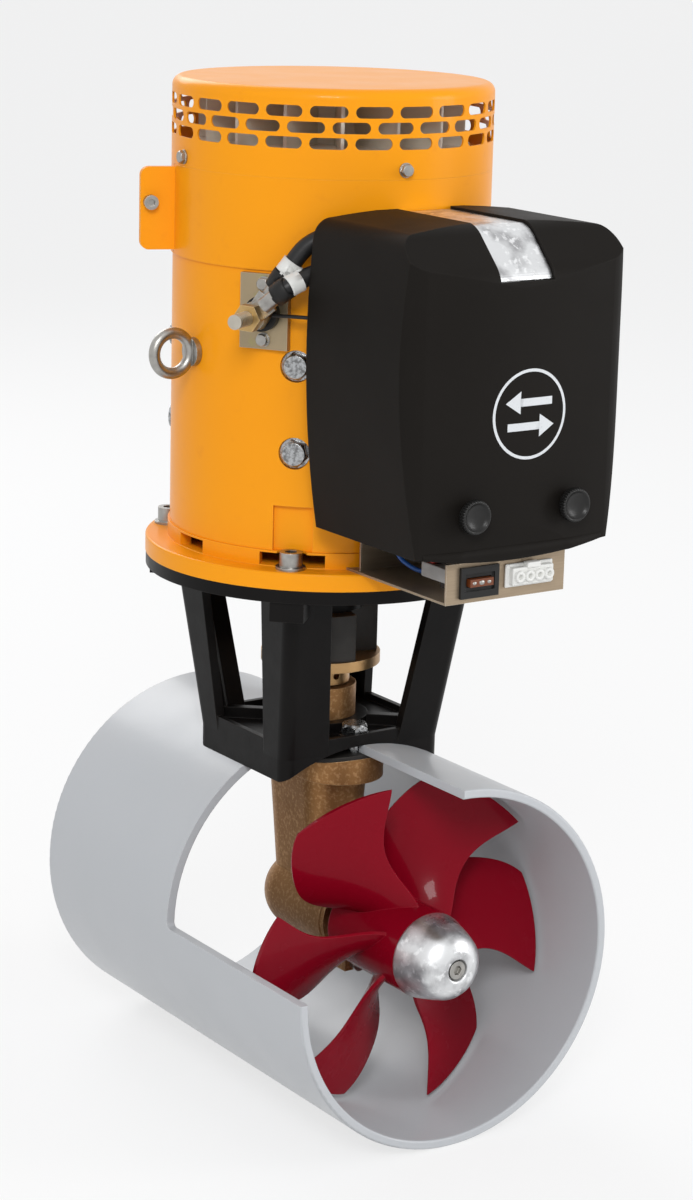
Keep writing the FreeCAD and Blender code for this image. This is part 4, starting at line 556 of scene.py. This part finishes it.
def dress_nodes():
    assign(orange_paint(), "motor_flange", "motor_body", "upper_end_shield", "cover_band", "fan_cover")
    assign(black_cast(), "bracket_frame", "coupling_driver")
    assign(tunnel_laminate(), "tunnel")
    assign(cast_bronze(), "gear_leg", "bearing_carrier")
    assign(turned_bronze(), "coupling_flange")
    assign(crimson_gloss(), "propeller")
    assign(zinc_cast(), "nose_cone")
    assign(forged_steel(), "base_bolts", "pole_bolts")
    assign(yellow_brass(), "terminal_nuts")
    assign(plated_steel(), "flange_bolts", "band_screw", "cap_screws", "lifting_eye",
           "terminal_screws", "cable_lugs", "tray_screws", "nose_screw", "carrier_screw", "brush_holders")
    stud_turn = (0.0, 0.0, math.radians(STUD_TURN))
    assign(threaded_steel("terminal_thread", (0.62, 0.58, 0.50), "X", stud_turn), "terminal_stud")
    assign(threaded_steel("stud_thread", (0.60, 0.59, 0.56), "Y"), "cover_studs")
    assign(passivated_steel(), "terminal_plate")
    assign(brushed_sheet(), "control_tray")
    assign(ground_steel(), "leg_bearings", "prop_bearings", "drive_pinion", "crown_gear", "prop_shaft",
           "drive_pin",
           "drive_shaft", "motor_shaft", "motor_bearings")
    assign(laminated_iron(), "pole_shoes", "armature")
    assign(wound_copper(), "field_coils", "commutator")
    assign(cover_plastic(), "control_cover")
    assign(zinc_cast(), "cover_plate")
    assign(black_moulding(), "knob_left", "knob_right", "contactors", "fuse_holder", "terminal_insulator")
    assign(coupling_rubber(), "coupling_element", "leg_gasket", "shaft_seals")
    assign(fan_plastic(), "fan")
    assign(white_moulding(), "control_connector")
    assign(fuse_plastic(), "blade_fuse")
    assign(cable_jacket(), "power_cables", "sense_wire")
    assign(blue_insulation(), "blue_wire")
    assign(carbon(), "brushes")


# ---------------------------------------------------------------- added pieces

def mesh_piece(name, verts, faces, material, body):
    """Smooth piece from points in metres, riding a body."""
    mesh = bpy.data.meshes.new(name)
    mesh.from_pydata(verts, [], faces)
    mesh.materials.append(material)
    for face in mesh.polygons:
        face.use_smooth = True
    piece = bpy.data.objects.new(name, mesh)
    bpy.context.scene.collection.objects.link(piece)
    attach(piece, body)
    return piece


def form_piece(name, form, material, body):
    """Piece from a bmesh, which it frees, riding a body."""
    mesh = bpy.data.meshes.new(name)
    form.to_mesh(mesh)
    form.free()
    mesh.materials.append(material)
    piece = bpy.data.objects.new(name, mesh)
    bpy.context.scene.collection.objects.link(piece)
    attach(piece, body)
    return piece


def add_box(form, size, middle):
    """Box of a size round a middle, both in mm."""
    made = bmesh.ops.create_cube(form, size=1.0)["verts"]
    bmesh.ops.scale(form, vec=[part * MM for part in size], verts=made)
    bmesh.ops.translate(form, vec=[part * MM for part in middle], verts=made)


def soften(piece, edge):
    soft = piece.modifiers.new("edges", "BEVEL")
    soft.width = edge * MM
    soft.segments = 3


def node_surface(name):
    """Search tree over the faces of a node, at rest."""
    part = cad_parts[name]
    verts = [part.matrix_world @ vert.co for vert in part.data.vertices]
    return BVHTree.FromPolygons(verts, [tuple(face.vertices) for face in part.data.polygons])


def sleeve_on(name, node, centre, way, half, grow, material):
    """Sleeve round a cable: a slice of the cable's own surface, grown outwards."""
    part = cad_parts[node]
    centre = Vector(centre) * MM
    way = Vector(way).normalized()
    form = bmesh.new()
    form.from_mesh(part.data)
    bmesh.ops.transform(form, matrix=part.matrix_world, verts=form.verts)
    for side in (1, -1):
        whole = form.verts[:] + form.edges[:] + form.faces[:]
        cut = centre + way * (half * MM * side)
        bmesh.ops.bisect_plane(form, geom=whole, dist=1e-6, plane_co=cut, plane_no=way * side,
                               clear_outer=True)
    far = [face for face in form.faces if (face.calc_center_median() - centre).length > 12 * MM]
    bmesh.ops.delete(form, geom=far, context="FACES")
    bmesh.ops.remove_doubles(form, verts=form.verts, dist=1e-5)
    form.normal_update()
    for vert in form.verts:
        vert.co += vert.normal * (grow * MM)
    piece = form_piece(name, form, material, "frame")
    for face in piece.data.polygons:
        face.use_smooth = True
    shell = piece.modifiers.new("shell", "SOLIDIFY")
    shell.thickness = grow * MM * 1.2
    shell.offset = -1.0
    return piece


# middle, direction, half length and growth of each sleeve on the two power cables
SHRINKS = (
    ((-97.0, -84.6, 476.2), (0.40, -0.42, 0.81), 5.6, 1.6),
    ((-102.4, -96.0, 470.9), (0.46, -0.64, 0.61), 5.2, 1.6),
)
BANDS = (
    ((-91.8, -88.4, 485.2), (0.45, -0.33, 0.82), 4.8, 1.1),
    ((-94.6, -98.9, 475.9), (0.86, -0.18, 0.45), 4.8, 1.1),
)


def cable_sleeves():
    rubber = black_moulding("heat_shrink", 0.5)
    white = white_moulding()
    kinds = (("heat_shrink", SHRINKS, rubber, "cable_black"),
             ("marker_band", BANDS, white, "white_plastic"))
    for label, table, material, slot in kinds:
        for index, (centre, way, half, grow) in enumerate(table):
            name = "%s_%d" % (label, index + 1)
            sleeve_on(name, "power_cables", centre, way, half, grow, material)


def revolved(profile, segments, ribs=0, rib_depth=0.0, ribbed=()):
    """Points and faces of a profile (radius, along) turned round Y; ribs press in the ribbed rows."""
    verts = []
    for row, (radius, along) in enumerate(profile):
        for step in range(segments):
            turn = 2 * math.pi * step / segments
            dip = rib_depth * (0.5 - 0.5 * math.cos(ribs * turn)) if row in ribbed else 0.0
            verts.append(((radius - dip) * math.cos(turn) * MM, along * MM,
                          (radius - dip) * math.sin(turn) * MM))
    faces = []
    for row in range(len(profile) - 1):
        for step in range(segments):
            after = (step + 1) % segments
            faces.append((row * segments + step, row * segments + after,
                          (row + 1) * segments + after, (row + 1) * segments + step))
    faces.append(tuple(range(segments))[::-1])
    faces.append(tuple((len(profile) - 1) * segments + step for step in range(segments)))
    return verts, faces


def knob(side):
    """Knurled screw knob with a dished face, on a short neck."""
    node = "knob_" + side
    low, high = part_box(node)
    front = low[1] / MM
    back = high[1] / MM
    middle_x = (low[0] + high[0]) / 2
    middle_z = (low[2] + high[2]) / 2
    rim = KNOB_RIM
    profile = [(0.6, front + 3.2), (4.0, front + 3.0), (7.0, front + 2.3), (rim - 2.5, front + 1.1),
               (rim - 2.2, front + 0.3), (rim - 1.6, front), (rim - 0.8, front + 0.1), (rim - 0.1,
                                                                                        front + 0.8),
               (rim, front + 1.4), (rim, front + 4.6), (rim - 0.4, front + 5.3), (rim - 2.4, front + 5.6),
               (rim - 2.7, front + 6.2), (rim - 2.7, back - 8.9), (rim - 3.1, back - 8.4), (4.5,
                                                                                            back - 8.2),
               (4.5, back), (0.6, back)]
    verts, faces = revolved(profile, 288, KNOB_RIBS, KNOB_RIB_DEPTH, ribbed=(7, 8, 9, 10))
    piece = mesh_piece("knob_form_" + side, verts, faces, black_moulding(node, 0.3), node)
    piece.data.transform(Matrix.Translation((middle_x, 0.0, middle_z)))
    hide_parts(node)


def disc_strip(centre, outer, inner, start, end, steps):
    """Flat ring or arc as rows of (x, z) pairs."""
    rows = []
    for step in range(steps + 1):
        turn = math.radians(start + (end - start) * step / steps)
        rows.append(((centre[0] + outer * math.cos(turn), centre[1] + outer * math.sin(turn)),
                     (centre[0] + inner * math.cos(turn), centre[1] + inner * math.sin(turn))))
    return rows


def arrow_rows(start, end, half, head, head_half):
    """Plain arrow from start to end as rows of (x, z) pairs."""
    run = Vector((end[0] - start[0], end[1] - start[1]))
    length = run.length
    run.normalize()
    side = Vector((-run.y, run.x))
    rows = []
    shaft = length - head
    for step in range(ARROW_STEPS + 1):
        at = Vector(start) + run * (shaft * step / ARROW_STEPS)
        rows.append((tuple(at + side * half), tuple(at - side * half)))
    for step in range(ARROW_STEPS + 1):
        at = Vector(start) + run * (shaft + head * step / ARROW_STEPS)
        wide = head_half * (1 - step / ARROW_STEPS) + 0.05
        rows.append((tuple(at + side * wide), tuple(at - side * wide)))
    return rows


def printed(name, rows, surface, material):
    """Ink on the front of the cover: rows of points laid on its surface from the front."""
    verts = []
    for pair in rows:
        for share in (0.0, 0.5, 1.0):
            x = pair[0][0] * (1 - share) + pair[1][0] * share
            z = pair[0][1] * (1 - share) + pair[1][1] * share
            hit = surface.ray_cast(Vector((x * MM, RAY_START, z * MM)), Vector((0, 1, 0)))[0]
            verts.append((x * MM, hit.y - INK_LIFT * MM, z * MM))
    faces = []
    for row in range(len(rows) - 1):
        for column in (0, 1):
            corner = row * 3 + column
            faces.append((corner, corner + 1, corner + 4, corner + 3))
    return mesh_piece(name, verts, faces, material, "cover")


def white_ink():
    finish = Finish("white_ink", (0.62, 0.64, 0.66), 0.5)
    finish.tint(finish.between(finish.noise(900.0, 4.0), 0.60, 0.75), (0.30, 0.31, 0.32), 0.6)
    finish.raise_by(finish.noise(1500.0, 2.0), 0.00003, 0.4)
    return finish.done(0.0002)


def nose_form(body):
    """Anode with a straight flank, a rounded shoulder and a counterbore for its screw."""
    low, high = (Vector(corner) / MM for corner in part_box("nose_cone"))
    top = high.y
    profile = [(9.9, top), (31.4, top), (31.3, top - 1.0), (29.5, top - 9.0), (27.4, top - 17.0),
               (25.6, top - 23.0),
               (24.4, top - 26.2), (22.2, top - 29.2), (19.0, top - 31.8), (15.6, top - 33.6), (12.6,
                                                                                                low.y + 0.4),
               (10.0, low.y), (8.5, low.y), (8.0, low.y + 0.6), (8.0, low.y + 7.0), (4.4, low.y + 7.0)]
    verts, faces = revolved(profile, 128)
    piece = mesh_piece("nose_form", verts, faces, zinc_cast(), body)
    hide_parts("nose_cone")


def connector_form():
    """White plug with four round sockets and a latch, seated in the tray's window."""
    low, high = (Vector(corner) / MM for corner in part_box("control_connector"))
    middle = (low + high) / 2
    white = white_moulding()
    form = bmesh.new()
    for wide, tall, start, end, lift in ((34.0, 12.0, 2.5, high.y - low.y, 0.0),
                                         (39.0, 16.0, 7.0, 9.0, 0.0),
                                         (11.0, 4.0, 1.5, 7.5, 7.0)):
        place = (middle.x, low.y + (start + end) / 2, middle.z + lift)
        add_box(form, (wide, end - start, tall), place)
    body = form_piece("connector_body", form, white, "frame")
    soften(body, 0.9)
    pieces = [body]
    for step in range(4):
        front = low.y
        profile = [(1.7, front + 6.0), (1.7, front + 0.6), (2.0, front + 0.1), (3.4, front),
                   (3.9, front + 0.5),
                   (4.0, front + 4.0), (4.0, front + 6.0)]
        verts, faces = revolved(profile, 32)
        shift = Vector(((middle.x + (step - 1.5) * SOCKET_PITCH) * MM, 0.0, middle.z * MM))
        verts = [tuple(Vector(vert) + shift) for vert in verts]
        pieces.append(mesh_piece("connector_socket_%d" % (step + 1), verts, faces, white, "frame"))
    for piece in pieces:
        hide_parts("control_connector")


def soft_box(name, low, high, material, edge):
    """Box between two corners in mm with rounded edges, riding the frame."""
    form = bmesh.new()
    size = [high[axis] - low[axis] for axis in range(3)]
    middle = [(high[axis] + low[axis]) / 2 for axis in range(3)]
    add_box(form, size, middle)
    piece = form_piece(name, form, material, "frame")
    soften(piece, edge)
    return piece


def tray_block():
    """Pale grey junction block with a red lead, behind the lip of the tray."""
    low = Vector(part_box("control_tray")[0]) / MM
    grey = Finish("block_grey", (0.36, 0.35, 0.34), 0.45, specular=0.2)
    grey.tint(grey.noise(160.0, 5.0), (0.19, 0.18, 0.17), 0.7)
    grey.raise_by(grey.noise(900.0, 3.0), 0.0001, 0.5)
    grey = grey.done(0.0004)
    red = Finish("lead_red", (0.42, 0.03, 0.02), 0.4, specular=0.3)
    red.tint(red.noise(300.0, 4.0), (0.30, 0.02, 0.015), 0.7)
    red = red.done(0.0003)
    corner = (low.x + 4.0, low.y + 6.0, low.z + 13.0)
    block = soft_box("tray_block", corner, (corner[0] + 16.0, corner[1] + 28.0, corner[2] + 10.0), grey,
                     0.8)
    lead = soft_box("tray_lead", (corner[0] + 1.0, corner[1] + 16.0, corner[2] + 10.3),
                    (corner[0] + 9.0, corner[1] + 27.0, corner[2] + 12.3), red, 0.9)


def fuse_contacts():
    """Bright blades seen through the top of the fuse."""
    low, high = (Vector(corner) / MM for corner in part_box("blade_fuse"))
    middle = (low + high) / 2
    steel = plated_steel()
    for index, shift in enumerate((-6.0, 0.0, 6.0)):
        wide = 3.4 if shift else 4.6
        half = wide / 2
        profile = [(0.1, low.y - 0.25), (half - 0.3, low.y - 0.25), (half, low.y + 0.1),
                   (half, low.y + 0.6)]
        verts, faces = revolved(profile, 16)
        place = Vector(((middle.x + shift) * MM, 0.0, middle.z * MM))
        verts = [tuple(Vector((vert[0], vert[1], vert[2] * 0.7)) + place) for vert in verts]
        piece = mesh_piece("fuse_contact_%d" % (index + 1), verts, faces, steel, "fuse")


def cover_skirt():
    """Bowed lower edge of the cover's front, hanging over the lip of the tray."""
    surface = node_surface("control_cover")
    low = Vector(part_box("control_cover")[0]) / MM
    verts = []
    for step in range(SKIRT_STEPS + 1):
        x = SKIRT_HALF * (step / (SKIRT_STEPS / 2) - 1)
        drop = SKIRT_DROP * (1 - (x / SKIRT_HALF) ** 2) + 0.02
        fronts = []
        for lift in (SKIRT_LAP, SKIRT_FOOT):
            hit = surface.ray_cast(Vector((x * MM, RAY_START, (low.z + lift) * MM)), Vector((0, 1, 0)))[0]
            fronts.append(hit.y / MM - SKIRT_PROUD)
        lean = (fronts[1] - fronts[0]) / (SKIRT_LAP - SKIRT_FOOT)
        for along, down in ((0.0, -SKIRT_LAP), (0.0, drop * 0.5), (0.2, drop * 0.9), (0.9, drop),
                            (2.0, drop),
                            (2.0, -SKIRT_LAP)):
            y = fronts[1] + lean * (down + SKIRT_FOOT) + along
            verts.append((x * MM, y * MM, (low.z - down) * MM))
    faces = []
    for step in range(SKIRT_STEPS):
        for side in range(6):
            after = (side + 1) % 6
            faces.append((step * 6 + side, step * 6 + after, step * 6 + 6 + after, step * 6 + 6 + side))
    faces.append(tuple(range(6))[::-1])
    faces.append(tuple(range(6 * SKIRT_STEPS, 6 * SKIRT_STEPS + 6)))
    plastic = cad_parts["control_cover"].material_slots[0].material
    piece = mesh_piece("cover_skirt", verts, faces, plastic, "cover")


def cover_print():
    """A plain round mark with two opposite arrows, in the place of the printed signs."""
    surface = node_surface("control_cover")
    ink = white_ink()
    x, z = PRINT_MIDDLE
    printed("print_ring", disc_strip(PRINT_MIDDLE, PRINT_R, PRINT_R - 2.0, 0, 360, 96), surface, ink)
    for name, way in (("print_arrow_left", 1), ("print_arrow_right", -1)):
        rows = arrow_rows((x + 18 * way, z + 8 * way), (x - 20 * way, z + 8 * way), 2.6, 12, 7.5)
        printed(name, rows, surface, ink)


make_camera()
make_world()
area_light("key", (-1.9, -2.6, 2.3), (0.0, 0.0, 0.25), (1.0, 1.0), 60.0)
area_light("fill", (2.2, -1.9, 1.0), (0.0, 0.0, 0.2), (1.0, 1.4), 26.0)
area_light("back", (0.3, 2.6, 2.0), (0.0, 0.0, 0.3), (1.6, 1.6), 30.0)
make_floor()
dress_nodes()
cable_sleeves()
knob("left")
knob("right")
nose_form("propeller")
connector_form()
fuse_contacts()
tray_block()
cover_skirt()
cover_print()
bpy.context.scene.view_settings.view_transform = "Standard"
